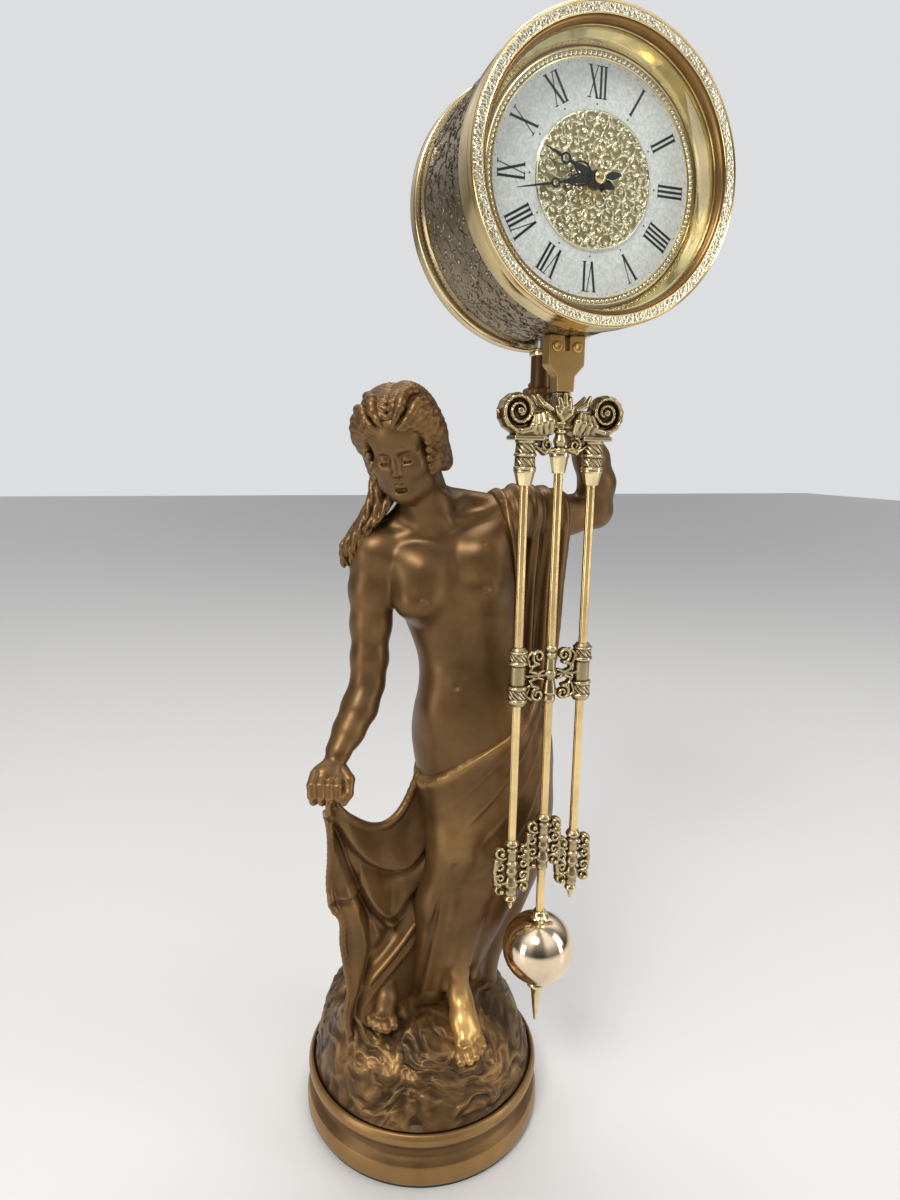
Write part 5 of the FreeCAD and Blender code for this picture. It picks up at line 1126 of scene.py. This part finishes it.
def scroll_field(width, height, u, v, spacing, seed):
    """Height of a running pattern of leafy scrolls, repeating across the width."""
    rng = np.random.default_rng(seed)
    field = np.full(u.shape, -1.0)
    columns = int(round(width / spacing))
    rows = max(int(round(height / (spacing * 0.86))), 1)
    for column in range(columns):
        for row in range(rows):
            cx = (column + 0.5 + 0.5 * (row % 2) + 0.16 * (rng.random() - 0.5)) * width / columns
            cy = (row + 0.5 + 0.14 * (rng.random() - 0.5)) * height / rows
            hand = 1 if (column + row) % 2 else -1
            start = rng.random() * 2 * math.pi
            du = (u - cx + width / 2) % width - width / 2
            dv = v - cy
            r = np.hypot(du, dv)
            near_zone = r < spacing * 0.80
            a = np.arctan2(dv, du) * hand - start
            reach = spacing * 0.56
            turns = np.sqrt(np.clip(r / reach, 0, 1.5)) * 2 * math.pi * 1.35
            off = np.mod(a - turns + math.pi, 2 * math.pi) - math.pi
            arm = np.exp(-(off * r / (spacing * 0.125 * (0.7 + 0.5 * np.sin(a * 5 + r * 2.1)))) ** 2)
            leaf = np.exp(-((np.mod(a * 2.5 + r * 1.1, 2 * math.pi) - math.pi) / 0.75) ** 2) * np.exp(
                -((r - reach * 0.98) / (spacing * 0.15)) ** 2)
            eye = np.exp(-(r / (spacing * 0.11)) ** 2)
            fade = np.clip((spacing * 0.80 - r) / (spacing * 0.18), 0, 1)
            value = np.maximum(np.maximum(arm, leaf * 0.85), eye) * fade * 2 - 1
            field = np.where(near_zone, np.maximum(field, value), field)
    return field


# engraved band round the drum, with a row of beads near its rear edge and a slot for the post's arm
SLEEVE_R = 64.0
SLEEVE_FROM, SLEEVE_TO = 17.0, 73.6
SLEEVE_ROUND = 2 * math.pi * SLEEVE_R
SLEEVE_BEADS = 190
SLOT_HALF, SLOT_FRONT, SLOT_REAR, SLOT_TOP = 9.2, -31.2, -10.9, 480
around = 840 if FINE == 1 else 480
along = 116
ang = full_turn(around)
deep_at = np.linspace(SLEEVE_FROM, SLEEVE_TO, along)
uu = np.repeat((ang * SLEEVE_R)[:, None], along, 1)
vv = np.repeat((deep_at - SLEEVE_FROM)[None, :], around, 0)
relief = scroll_field(SLEEVE_ROUND, 50.0, uu, np.minimum(vv, 51.5), 11.6, 21)
texture = cloud_noise(np.stack([uu, vv, 0 * uu], -1), 1.6, 3)
scratch = np.cos(2 * np.pi * vv / 0.9) * 0.06
relief = np.clip(relief + 0.30 * texture + scratch, -1, 1)
beads = (vv > 51.4) & (vv < 54.2)
bead_u = np.mod(uu, SLEEVE_ROUND / SLEEVE_BEADS) / (SLEEVE_ROUND / SLEEVE_BEADS) * 2 - 1
bead_height = np.sqrt(np.clip(1 - bead_u ** 2 - ((vv - 52.8) / 1.35) ** 2, 0, 1))
relief = np.where(beads, bead_height * 1.9 - 0.95, relief)
relief = np.where((vv < 0.9) | (vv > 54.2), 0.35, relief)
band_r = SLEEVE_R + 0.05 + 0.55 * relief + np.where(beads, 0.75 * bead_height, 0)
band_r = np.where(vv < 0.5, SLEEVE_R, band_r)
band_points = ring_points(DIAL, "y", band_r, deep_at[None, :], ang)
band_faces = grid_faces(around, along, True)
middle = band_points.reshape(-1, 3)[band_faces].mean(1)
in_slot = np.abs(middle[:, 0] - AX) < SLOT_HALF
in_slot &= (middle[:, 1] > SLOT_FRONT) & (middle[:, 1] < SLOT_REAR) & (middle[:, 2] < SLOT_TOP)
piece("engraved_sleeve", band_points, band_faces[~in_slot], "swinger", engraved,
      np.clip(relief * 1.05 + 0.05, -1, 1).ravel())

GRIP = rounded([(0.4, 77.3), (61.4, 77.3), (61.4, 79.0), (17.4, 79.0), (15.4, 81.2), (0.4, 81.2)], 0.6)
cover_brass = polished("cover_brass", (0.50, 0.38, 0.20), 0.36, 0.12)
lathe("rear_cover", DIAL, "y", GRIP, "back_door", cover_brass, ("back_cover",),
      crease=35)

# dial: filigree centre, beads, numerals

FILIGREE_DEEP, DIAL_DEEP = 15.62, 16.4
around, across = (900, 90) if FINE == 1 else (460, 50)
ang = full_turn(around)
rad = np.linspace(4.2, 29.3, across)
uu = rad[None, :] * np.cos(ang)[:, None] + 40
vv = rad[None, :] * np.sin(ang)[:, None] + 40
disc = scroll_field(80.0, 80.0, uu, vv, 6.6, 8)
disc = np.clip(disc + 0.5 * cloud_noise(np.stack([uu, vv, 0 * uu], -1), 1.2, 3), -1, 1)
border = np.repeat((rad > 28.3)[None, :], around, 0)
disc = np.where(border, 0.9, disc)
disc_points = ring_points(DIAL, "y", rad[None, :], FILIGREE_DEEP - 0.28 * disc, ang)
disc_points[:, -1, 1] = DIAL[1] + DIAL_DEEP
piece("dial_filigree", disc_points, grid_faces(around, across, True), "swinger", filigree,
      disc.ravel(),
      ("dial_centre",))

bead_parts = []
BEADS = 132
unit_u, unit_v = np.meshgrid(full_turn(8), np.linspace(0, np.pi / 2, 4), indexing="ij")
for k in range(BEADS):
    a = 2 * math.pi * k / BEADS
    local = np.stack([1.12 * np.sin(unit_v) * np.cos(unit_u), -1.0 * np.cos(unit_v),
                      1.12 * np.sin(unit_v) * np.sin(unit_u)], -1)
    spot = np.array((DIAL[0] + 51.3 * math.cos(a), DIAL[1] + 16.3, DIAL[2] + 51.3 * math.sin(a)))
    bead_parts.append((local + spot, grid_faces(8, 4, True)))
bead_verts, bead_faces = merged(bead_parts)
piece("dial_beads", bead_verts, bead_faces, "swinger", filigree, np.full(len(bead_verts), 0.4),
      ("dial_bead_ring",))
for label, inner, outer in (("bead_border_in", 49.5, 50.2), ("bead_border_out", 52.5, 53.4)):
    lathe(label, DIAL, "y", [(inner, DIAL_DEEP), (inner, 15.7), ((inner + outer) / 2, 15.5), (outer, 15.7),
                             (outer, DIAL_DEEP)], "swinger", pale_gilt)


def stroke(x0, z0, x1, z1, wide):
    """A straight bar of one width, as an outline."""
    way = np.array((x1 - x0, z1 - z0))
    side = np.array((-way[1], way[0])) / np.linalg.norm(way) * wide / 2
    a, b = np.array((x0, z0)), np.array((x1, z1))
    return [tuple(a + side), tuple(a - side), tuple(b - side), tuple(b + side)]


def circle(x, z, radius, count):
    return [(x + radius * math.cos(q), z + radius * math.sin(q)) for q in full_turn(count)]


def on_dial(outline, turn):
    """An outline drawn pointing up, turned clockwise about the dial's middle."""
    c, s = math.cos(turn), math.sin(turn)
    return [(DIAL[0] + x * c + z * s, DIAL[2] - x * s + z * c) for x, z in outline]


TALL, THICK, THIN, SERIF, SERIF_HALF, HALF = 13.2, 1.12, 0.42, 0.40, 0.95, 1.95
FOOT_SERIF, HEAD_SERIF = SERIF / 2, TALL - SERIF / 2
# strokes of each letter as both ends and width, then the places and heights of its serifs, then its width
LETTERS = {
    "I": (((0, 0, 0, TALL, THICK),), (0,), (FOOT_SERIF, HEAD_SERIF), 2.15),
    "V": (((-HALF, TALL, 0, 0, THICK), (HALF, TALL, 0, 0, THIN)), (-HALF, HALF), (HEAD_SERIF,), 5.1),
    "X": (((-HALF, TALL, HALF, 0, THICK), (HALF, TALL, -HALF, 0, THIN)), (-HALF, HALF),
          (FOOT_SERIF, HEAD_SERIF), 5.1),
}
NUMERAL_FOOT = 33.8
NUMERAL_DEEP = (DIAL[1] + 16.33, DIAL[1] + 16.41)


def glyph(letter, at):
    """Outlines of the strokes of one Roman letter whose middle stands at a place in its word."""
    lines, places, levels, width = LETTERS[letter]
    strokes = [stroke(at + x0, z0, at + x1, z1, wide) for x0, z0, x1, z1, wide in lines]
    strokes += [stroke(at + place - SERIF_HALF, z, at + place + SERIF_HALF, z, SERIF)
                for place in places for z in levels]
    return strokes


numeral_parts = []
for hour, word in enumerate(("XII", "I", "II", "III", "IIII", "V", "VI", "VII", "VIII", "IX", "X", "XI")):
    cursor = -sum(LETTERS[letter][3] for letter in word) / 2
    for letter in word:
        width = LETTERS[letter][3]
        for outline in glyph(letter, cursor + width / 2):
            raised = [(x, NUMERAL_FOOT + z) for x, z in outline]
            numeral_parts.append(plate(on_dial(raised, math.radians(30 * hour)), *NUMERAL_DEEP))
        cursor += width
    for minute in range(5):
        tick = math.radians(30 * hour + 6 * minute)
        size, centre_r = (0.42, 31.6) if minute == 0 else (0.22, 48.3)
        dot = circle(DIAL[0] + centre_r * math.sin(tick), DIAL[2] + centre_r * math.cos(tick), size, 8)
        numeral_parts.append(plate(dot, *NUMERAL_DEEP))
numeral_verts, numeral_faces = merged(numeral_parts)
piece("numerals", numeral_verts, numeral_faces, "swinger", ink, None, (), 30)


def hand_piece(name, length, turn_deg, front, thick, body, node, ring_at, ring_r, wide, tail):
    """A serpentine hand with a pierced ring, drawn pointing up and turned to its place."""
    parts = []
    turn = math.radians(turn_deg)

    def put(outline):
        parts.append(plate(on_dial(outline, turn), front, front + thick))

    def band(points, widths):
        points = np.array(points, float)
        way = np.gradient(points, axis=0)
        side = np.stack([-way[:, 1], way[:, 0]], 1) / np.linalg.norm(way, axis=1)[:, None]
        widths = np.array(widths)[:, None] / 2
        put(list(map(tuple, points + side * widths)) + list(map(tuple, (points - side * widths)[::-1])))

    z = np.linspace(0, ring_at - ring_r, 24)
    share = z / (ring_at - ring_r)
    swell = wide * (0.45 + 0.55 * np.sin(np.pi * share) ** 2) * (1 - 0.35 * share)
    band(np.stack([0 * z, z], 1), swell)
    for side in (-1, 1):
        curl = np.linspace(0, 1, 18)
        path = np.stack([side * (0.35 + wide * 0.62 * np.sin(np.pi * curl)),
                         ring_at * (0.20 + 0.55 * curl)], 1)
        band(path, 0.34 + 0.38 * np.sin(np.pi * curl))
        put(circle(side * wide * 0.78, ring_at * 0.40, 0.42 * wide / 3, 12))
    for k in range(28):
        a0, a1 = 2 * math.pi * k / 28, 2 * math.pi * (k + 1) / 28
        inner = ring_r * 0.62
        put([(inner * math.cos(a0), ring_at + inner * math.sin(a0)),
             (ring_r * math.cos(a0), ring_at + ring_r * math.sin(a0)),
             (ring_r * math.cos(a1), ring_at + ring_r * math.sin(a1)),
             (inner * math.cos(a1), ring_at + inner * math.sin(a1))])
    z = np.linspace(ring_at + ring_r * 0.8, length, 16)
    share = (z - z[0]) / (z[-1] - z[0])
    band(np.stack([0 * z, z], 1), wide * 0.30 * (1 - share) ** 0.7 + 0.16)
    z = np.linspace(-tail, 0, 20)
    share = -z / tail
    band(np.stack([0 * z, z], 1), 1.0 + wide * 0.75 * np.exp(-((share - 0.62) / 0.26) ** 2) * (share < 0.99))
    put(circle(0, 0, wide * 0.62, 24))
    verts, faces = merged(parts)
    return piece(name, verts, faces, body, ink, None, (node,), 30)


hand_piece("hour_pointer", 28.0, 291.5, -72.50, 0.42, "hour_train", "hour_hand", 17.5, 2.5, 4.0, 9.0)
hand_piece("minute_pointer", 41.0, 258.0, -74.00, 0.42, "minute_train", "minute_hand", 22.0, 2.1, 3.2, 11.0)
CAP = rounded([(0.2, 0.0), (1.5, 0.0), (2.8, 0.9), (2.8, 1.8), (0.2, 1.8)], 0.5)
lathe("centre_cap", (DIAL[0], -75.80, DIAL[2]), "y", CAP, "minute_train", gilt, ("hand_cap",),
      count=48)

# pendulum castings, each drawn from the middle rod out

SIDE_ROD = 19.0
SWEEP = 26


def beside(side, *places):
    """Places given by their distance out from the middle rod, depth from the rods' plane and height."""
    return [(AX + side * out, AY + deep, up) for out, deep, up in places]


def scroll(clay, side, out, up, radius, start, turns, winding, inner, thick, thin, soft, deep, column=0.0):
    """A spiral bar that thins towards its eye, mirrored by side."""
    first = start if side > 0 else 180 - start
    points = []
    for s in np.linspace(0, 1, SWEEP):
        angle = math.radians(first) + side * winding * s * turns * 2 * math.pi
        r = radius * (1 - (1 - inner) * s ** 0.85)
        points.append((AX + (column + side * out) + r * math.cos(angle), AY, up + r * math.sin(angle)))
    clay.chain(points, list(np.linspace(thick, thin, SWEEP)), soft, False, (AY, deep))


def disc_eye(clay, x, z, radius, half, soft):
    """A flat round plate that faces forward."""
    def shape(px, py, pz):
        return np.maximum(np.hypot(px - x, pz - z) - radius, np.abs(py - AY) - half)
    clay.put(shape, (x - radius, AY - half, z - radius), (x + radius, AY + half, z + radius), soft)


def leaf_ripple(*rows):
    """Leaves round a turned shape: rows of count, height and the two levels between which they stand."""
    def ripple(angle, z):
        total = 0
        for count, amount, low, high in rows:
            leaf = amount * (np.abs(np.sin(angle * count / 2 + (z - low) * 1.2)) - 0.5)
            total = total + np.where((z > low) & (z < high), leaf, 0)
        return total
    return ripple


def casting_piece(name, clay, node):
    return clay_piece(name, clay, "swinger", antique, (node,), 0.34, 0.05)


capital = Clay((AX - 36, AY - 7.5, 383), (AX + 36, AY + 7.5, 432), 0.38)
capital.box((AX, AY, 416.8), (21, 1.8, 4.6), 1.2, 1.0)
for side in (-1, 1):
    scroll(capital, side, 24.0, 420.4, 9.6, -78, 1.9, 1, 0.22, 1.75, 1.15, 0.3, 0.31)
    disc_eye(capital, AX + side * 24.0, 420.4, 8.6, 1.7, 0.5)
    disc_eye(capital, AX + side * 24.0, 420.4, 1.5, 5.0, 0.4)
    capital.rod(*beside(side, (33.6, 0, 419.6), (35.0, 0, 420.6)), 1.0, 0.4, 0.5)
    for face_side in (-1, 1):
        fy = face_side * 3.0
        for k in range(4):
            lean = 0.22 * k
            px = 15.5 - 3.0 * k
            capital.chain(beside(side, (px, fy, 408.6 + 0.6 * k),
                                 (px + 1.6 - lean, fy + face_side * 1.6, 413.2 + 0.8 * k),
                                 (px + 0.2 + lean * 4, fy + face_side * 0.6, 418.2 + 0.5 * k)),
                          [1.3, 2.05, 1.1], 0.5)
        capital.chain(beside(side, (13.0, fy, 411.4), (17.5, fy + face_side * 1.4, 411.8),
                             (22.5, fy + face_side * 1.2, 410.6), (26.5, fy, 411.8)), [1.2, 1.7, 1.5, 0.9],
                      0.35)
        capital.chain(beside(side, (14.5, fy, 427.8), (11.5, fy + face_side * 1.4, 424.0),
                             (7.0, fy + face_side * 1.4, 421.6)), [1.0, 1.5, 1.0], 0.35)
    scroll(capital, side, 8.4, 411.6, 4.0, -90, 1.6, 1, 0.24, 0.95, 0.70, 0.25, 0.26)
    capital.rod(*beside(side, (8.4, -1.2, 411.6), (8.4, 1.2, 411.6)), 3.4, 3.4, 0.4)
    scroll(capital, side, 7.8, 404.2, 3.4, 90, 1.4, -1, 0.28, 0.90, 0.70, 0.25, 0.28)
    capital.chain(beside(side, (4, 0, 401.9), (9, 0, 400.4), (14, 0, 403.5)), [1.2, 1.5, 1.0], 0.6, False,
                  (AY, 0.5))
    sx = AX + side * SIDE_ROD
    capital.box((sx, AY, 407.4), (8.2, 5.6, 1.1), 0.5, 0.3)
    capital.box((sx, AY, 409.6), (7.0, 4.6, 1.2), 0.5, 0.8)
    capital.turned(sx, AY, [406.4, 405.2, 404.6, 400.2, 399.6, 398.6, 398.0, 397.4, 393.6, 393.0, 392.2,
                            391.6],
                   [5.3, 5.3, 4.5, 4.9, 5.8, 5.8, 4.9, 5.0, 5.0, 5.8, 5.8, 5.2], 0.3,
                   leaf_ripple((9, 0.75, 400.4, 404.4), (12, 0.55, 393.9, 397.2)))
capital.turned(AX, AY, [416.0, 414.8, 414.2, 412.0, 411.4, 410.2, 409.6, 406.0, 403.0, 402.4, 401.2, 400.4],
               [2.4, 3.6, 2.5, 2.5, 3.4, 3.4, 2.4, 3.6, 2.6, 4.0, 4.0, 3.4], 0.3)
for face_side in (-1, 1):
    for angle, reach in ((90, 12.6), (66, 11.4), (114, 11.4), (42, 9.0), (138, 9.0)):
        across = math.cos(math.radians(angle)) * reach
        rise = math.sin(math.radians(angle)) * reach
        capital.chain(beside(1, (0, face_side * 2.4, 416.2),
                             (across * 0.45, face_side * 4.2, 416.6 + rise * 0.55),
                             (across * 0.66, face_side * 4.0, 416.8 + rise * 0.95)), [1.1, 1.9, 1.2], 0.3)
capital.box((AX, AY, 424.5), (4.2, 3.0, 5.5), 1.0, 0.8)
casting_piece("capital", capital, "capital_casting")


def ferrule(x, top, height, wide, tip):
    """A cup with eight flats under a plain ring."""
    profile = np.array(rounded([(0.3, 0), (tip, 0), (tip + 0.3, height * 0.16), (wide * 0.90, height * 0.80),
                                (wide, height * 0.84), (wide, height), (0.3, height)], 0.25))
    angle = full_turn(96)
    flat = np.mod(angle[:, None] + np.pi / 8, np.pi / 4) - np.pi / 8
    plain_ring = profile[None, :, 1] > height * 0.82
    radius = np.where(plain_ring, profile[None, :, 0], profile[None, :, 0]
                      * (0.96 / np.cos(flat)).clip(0, 1.04))
    points = ring_points((x, AY, top - height), "z", radius, profile[None, :, 1], angle)
    return points, grid_faces(96, len(profile), True)


verts, faces = merged([ferrule(AX - SIDE_ROD, 391.95, 8.0, 5.6, 3.6),
                       ferrule(AX + SIDE_ROD, 391.95, 8.0, 5.6, 3.6),
                       ferrule(AX, 400.1, 10.0, 5.15, 3.24)])
piece("ferrules", verts, faces, "swinger", pale_gilt, None, ("rod_ferrules",), 25)

# fluted rods
for label, dx, low, top in (("rod_left", -SIDE_ROD, 186.7, 387.0), ("rod_right", SIDE_ROD, 186.7, 387.0),
                            ("rod_centre", 0, 136.6, 393.1)):
    angle = full_turn(96)
    flute = 2.22 + 0.16 * np.abs(np.cos(4 * angle)) ** 0.6
    levels = np.array((low, low + 0.2, top - 0.2, top))
    points = ring_points((AX + dx, AY, 0), "z", np.repeat(flute[:, None], 4, 1), levels[None, :], angle)
    piece(label + "_fluted", points, grid_faces(96, 4, True), "swinger", rod_brass, None,
          (label,), 50)

# lattice half way down the rods
lattice = Clay((AX - 26, AY - 6.5, 266), (AX + 26, AY + 6.5, 301), 0.32)
SIDE_LEVELS = [299.6, 298.0, 297.4, 296.6, 292.4, 291.8, 290.6, 289.8, 279.0, 278.4, 277.2, 276.6, 271.6,
               271.0, 269.6,
               267.6]
SIDE_RADII = [3.4, 4.6, 5.4, 4.8, 4.8, 5.5, 5.5, 4.3, 4.3, 5.5, 5.5, 4.9, 4.9, 5.5, 5.2, 4.0]
MIDDLE = 283.4
for side in (-1, 1):
    lattice.turned(AX + side * SIDE_ROD, AY, SIDE_LEVELS, SIDE_RADII, 0.3,
                   leaf_ripple((11, 0.6, 292.6, 296.4), (11, 0.6, 271.8, 276.4)))
    for up in (-1, 1):
        cz = MIDDLE + up * 10.6
        scroll(lattice, side, 7.6, cz, 4.0, -90 * up, 1.35, up, 0.26, 1.15, 0.75, 0.3, 0.42)
        lattice.chain(beside(side, (7.6, 0, cz - up * 4.0), (11.0, 0, cz - up * 5.2),
                             (12.4, 0, cz - up * 8.0),
                             (8.0, 0, cz - up * 9.6), (4.2, 0, cz - up * 8.2)), [1.15, 1.1, 1.0, 1.0, 0.8],
                      0.4, False,
                      (AY, 0.45))
        lattice.chain(beside(side, (11.4, 0, cz + up * 2.5), (14.4, 0, cz), (12.6, 0, cz - up * 5)),
                      [0.9, 1.1, 0.9],
                      0.4, False, (AY, 0.45))
    lattice.rod(*beside(side, (3.5, 0, MIDDLE), (16, 0, MIDDLE)), 1.0, 1.0, 0.4, False, (AY, 0.5))
lattice.turned(AX, AY, [299.6, 298.4, 297.6, 295.8, 294.8, 292.5, 286.0, 285.0, MIDDLE, 281.8, 280.8,
                        277.0, 273.4,
                        272.2, 269.4, 267.6],
               [2.9, 3.6, 3.6, 2.6, 3.4, 2.7, 3.2, 3.9, 3.9, 3.2, 2.7, 3.4, 4.1, 3.2, 3.6, 2.9], 0.3)
casting_piece("lattice", lattice, "middle_lattice")

# crown above the bob: three turned stems, each between four scrolls
crown = Clay((AX - 34, AY - 6.5, 154), (AX + 34, AY + 6.5, 204), 0.36)
STEM_DROPS = (0, 1.6, 2.6, 4.4, 5.6, 8, 12, 13.4, 16, 19, 22, 24, 27, 30, 32.4, 34)
STEM_RADII = [3.0, 4.0, 4.2, 3.0, 3.8, 2.9, 3.0, 4.0, 3.0, 3.8, 2.8, 3.6, 4.4, 3.2, 3.4, 2.6]
for column in (-1, 0, 1):
    cx = column * SIDE_ROD
    top = 202.6 if column == 0 else 189.7
    crown.turned(AX + cx, AY, [top - drop for drop in STEM_DROPS], STEM_RADII, 0.3)
    for side in (-1, 1):
        for dz, r, winding in ((-6.2, 3.3, 1), (-14.6, 3.0, -1), (-22.0, 3.3, 1), (-29.0, 3.0, -1)):
            scroll(crown, side, 6.9, top + dz, r, -90 * winding, 1.25, winding, 0.26, 1.1, 0.75, 0.3, 0.40,
                   cx)
        for drop in (6.2, 29):
            eye = AX + cx + side * 6.9
            crown.rod((eye, AY - 3.9, top - drop), (eye, AY + 3.9, top - drop), 1.3, 1.3, 0.5)
        crown.chain([(AX + cx + side * out, AY, top - drop)
                     for out, drop in ((4, 10.5), (9.5, 11), (10.2, 18), (9.5, 25), (4, 25.8))],
                    [1.0, 1.2, 1.2, 1.2, 1.0], 0.5, False, (AY, 0.5))
casting_piece("crown", crown, "lower_crown")

DROP = rounded([(0.1, 0), (0.8, 0.9), (1.5, 3.4), (2.5, 5.6), (3.6, 6.9), (3.0, 8.4), (2.9, 9.0),
                (0.1, 9.0)], 0.5)
verts, faces = merged([turned_part((AX + side * SIDE_ROD, AY, 146.7), "z", DROP, 48) for side in (-1, 1)])
piece("drops", verts, faces, "swinger", pale_gilt, None, ("drop_finials",), 35)

# bob
BOB_R, BOB_Z = 20.5, 119.072
BOB = [(BOB_R * math.sin(a), BOB_Z + BOB_R * math.cos(a)) for a in np.linspace(0.02, math.pi - 0.02, 72)]
BOB_CAP = rounded([(2.35, 143.0), (3.4, 142.6), (4.2, 140.6), (5.4, 139.4), (5.8, 138.4), (4.8, 137.6)], 0.4)
TIP = rounded([(0.15, 70.6), (0.9, 71.4), (2.2, 82), (3.0, 90), (3.8, 93.0), (5.6, 94.4), (5.8, 95.8),
               (5.2, 97.2),
               (4.4, 99.4)], 0.6)
for label, profile, slot, material, node, count, crease in (
        ("bob_ball", BOB, "bob_brass", bob_brass, ("bob",), 144, 80),
        ("bob_cap", BOB_CAP, "bob_brass", pale_gilt, (), 64, 40),
        ("bob_tip", TIP, "antique_brass", pale_gilt, ("bob_finial",), 64, 40)):
    lathe(label, (AX, AY, 0), "z", profile, "swinger", material, node, count, crease)

# block under the drum, with bevelled edges and two screw heads
BLOCK = [(-9.8, 457.0), (-2.6, 457.0), (-1.2, 456.4), (-1.2, 449.9), (1.2, 449.9), (1.2, 456.4),
         (2.6, 457.0), (9.8, 457.0),
         (9.8, 443.0), (4.9, 437.6), (4.6, 430.2), (-4.6, 430.2), (-4.9, 437.6), (-9.8, 443.0)]
verts, faces = plate([(AX + x, z) for x, z in BLOCK], AY - 4.0, AY + 4.0)
block = piece("hanger_block", verts, faces, "swinger", block_brass, None,
              ("pendulum_block",), 30)
bevel = block.modifiers.new("edges", "BEVEL")
bevel.width = 0.5 * MM
bevel.segments = 3
SCREW = rounded([(0.1, 0.35), (1.9, 0.0), (2.6, 0.5), (2.6, 1.2), (0.1, 1.2)], 0.3)
verts, faces = merged([turned_part((AX + side * 5.6, AY - 5.1, 451.5), "y", SCREW, 40) for side in (-1, 1)])
piece("block_screw_heads", verts, faces, "swinger", block_brass, None, ("block_screws",), 35)

# floor, light and camera, in metres

floor_mesh = bpy.data.meshes.new("floor")
floor_mesh.from_pydata([(-6, -6, -0.0001), (6, -6, -0.0001), (6, 6, -0.0001), (-6, 6, -0.0001)], [],
                       [(0, 1, 2, 3)])
floor = bpy.data.objects.new("floor", floor_mesh)
bpy.context.scene.collection.objects.link(floor)
floor_material = bpy.data.materials.new("floor_grey")
Tree(floor_material).fill(floor_material.node_tree.nodes["Principled BSDF"],
                          {"Base Color": (0.72, 0.72, 0.72, 1.0), "Roughness": 0.45})
floor_mesh.materials.append(floor_material)


def soft_light(name, at, aim, size, power, colour):
    data = bpy.data.lights.new(name, "AREA")
    data.shape = "RECTANGLE"
    data.size, data.size_y = size
    data.energy = power
    data.color = colour
    item = bpy.data.objects.new(name, data)
    item.location = at
    item.rotation_mode = "QUATERNION"
    item.rotation_quaternion = (Vector(aim) - Vector(at)).to_track_quat("-Z", "Y")
    bpy.context.scene.collection.objects.link(item)


soft_light("key", (-0.75, -0.9, 1.55), (0.02, 0, 0.32), (0.55, 0.40), 15.0, (1.0, 0.96, 0.90))
soft_light("fill", (1.3, -0.8, 0.9), (0.02, 0, 0.30), (0.5, 1.0), 4.5, (0.97, 0.98, 1.0))
soft_light("left_side", (-1.05, -0.34, 0.34), (0.03, 0, 0.26), (0.24, 0.50), 1.9, (1.0, 0.97, 0.92))
soft_light("right_side", (0.95, -0.74, 0.33), (0.05, 0, 0.24), (0.18, 0.46), 1.2, (1.0, 0.98, 0.95))
soft_light("top", (0.25, 0.35, 1.7), (0.02, 0, 0.35), (0.8, 0.5), 8.0, (1.0, 0.97, 0.92))

# the camera sees an even backdrop, the metal mirrors a room with bright and dark parts
ROOM_STOPS = [(0.0, (0.30, 0.30, 0.31)), (0.46, (0.42, 0.42, 0.43)), (0.52, (0.13, 0.12, 0.11)),
              (0.66, (0.34, 0.34, 0.35)), (0.80, (0.85, 0.86, 0.88)), (1.0, (1.05, 1.04, 1.02))]
world = bpy.data.worlds.new("room")
bpy.context.scene.world = world
room = Tree(world)
room.nodes.clear()
seen = room.node("ShaderNodeBackground", {"Color": (0.72, 0.73, 0.74, 1.0)})
way = room.node("ShaderNodeTexCoord", {}).outputs["Generated"]
split = room.node("ShaderNodeSeparateXYZ", {"Vector": way}).outputs
height = room.ramp(room.span(split["Z"], -1.0, 1.0, 0.0, 1.0), ROOM_STOPS)
turn = room.maths("ARCTAN2", split["Y"], split["X"])
bars = room.maths("SINE", room.maths("MULTIPLY_ADD", turn, 3.0, turn))
shade = room.span(bars, -0.5, 0.6, 0.30, 1.25)
mixed = room.node("ShaderNodeMix", {0: 1.0, 6: height, 7: shade}, data_type="RGBA", blend_type="MULTIPLY")
light = room.node("ShaderNodeBackground", {"Color": mixed.outputs[2], "Strength": 0.95})
camera_ray = room.node("ShaderNodeLightPath", {}).outputs["Is Camera Ray"]
mix = room.node("ShaderNodeMixShader", {"Fac": camera_ray, 1: light.outputs["Background"],
                                        2: seen.outputs["Background"]})
room.node("ShaderNodeOutputWorld", {"Surface": mix.outputs["Shader"]})

# camera, leaning a little to one side
CAMERA_AT = (-0.12706, -0.40332, 0.40193)
CAMERA_LOOK = (0.322794, 0.926234, -0.194668)
CAMERA_LEAN = math.radians(0.95)
camera_data = bpy.data.cameras.new("camera")
camera_data.sensor_fit = "AUTO"
camera_data.sensor_width = 36.0
camera_data.lens = 23.0
camera_data.clip_start = 0.01
camera_data.clip_end = 30.0
camera = bpy.data.objects.new("camera", camera_data)
bpy.context.scene.collection.objects.link(camera)
camera.location = CAMERA_AT
look = Vector(CAMERA_LOOK).normalized()
level = look.cross(Vector((0, 0, 1))).normalized()
above = level.cross(look)
right = level * math.cos(CAMERA_LEAN) + above * math.sin(CAMERA_LEAN)
camera.rotation_mode = "QUATERNION"
camera.rotation_quaternion = Matrix((right, right.cross(look), -look)).transposed().to_quaternion()
bpy.context.scene.camera = camera
bpy.context.scene.view_settings.view_transform = "Standard"
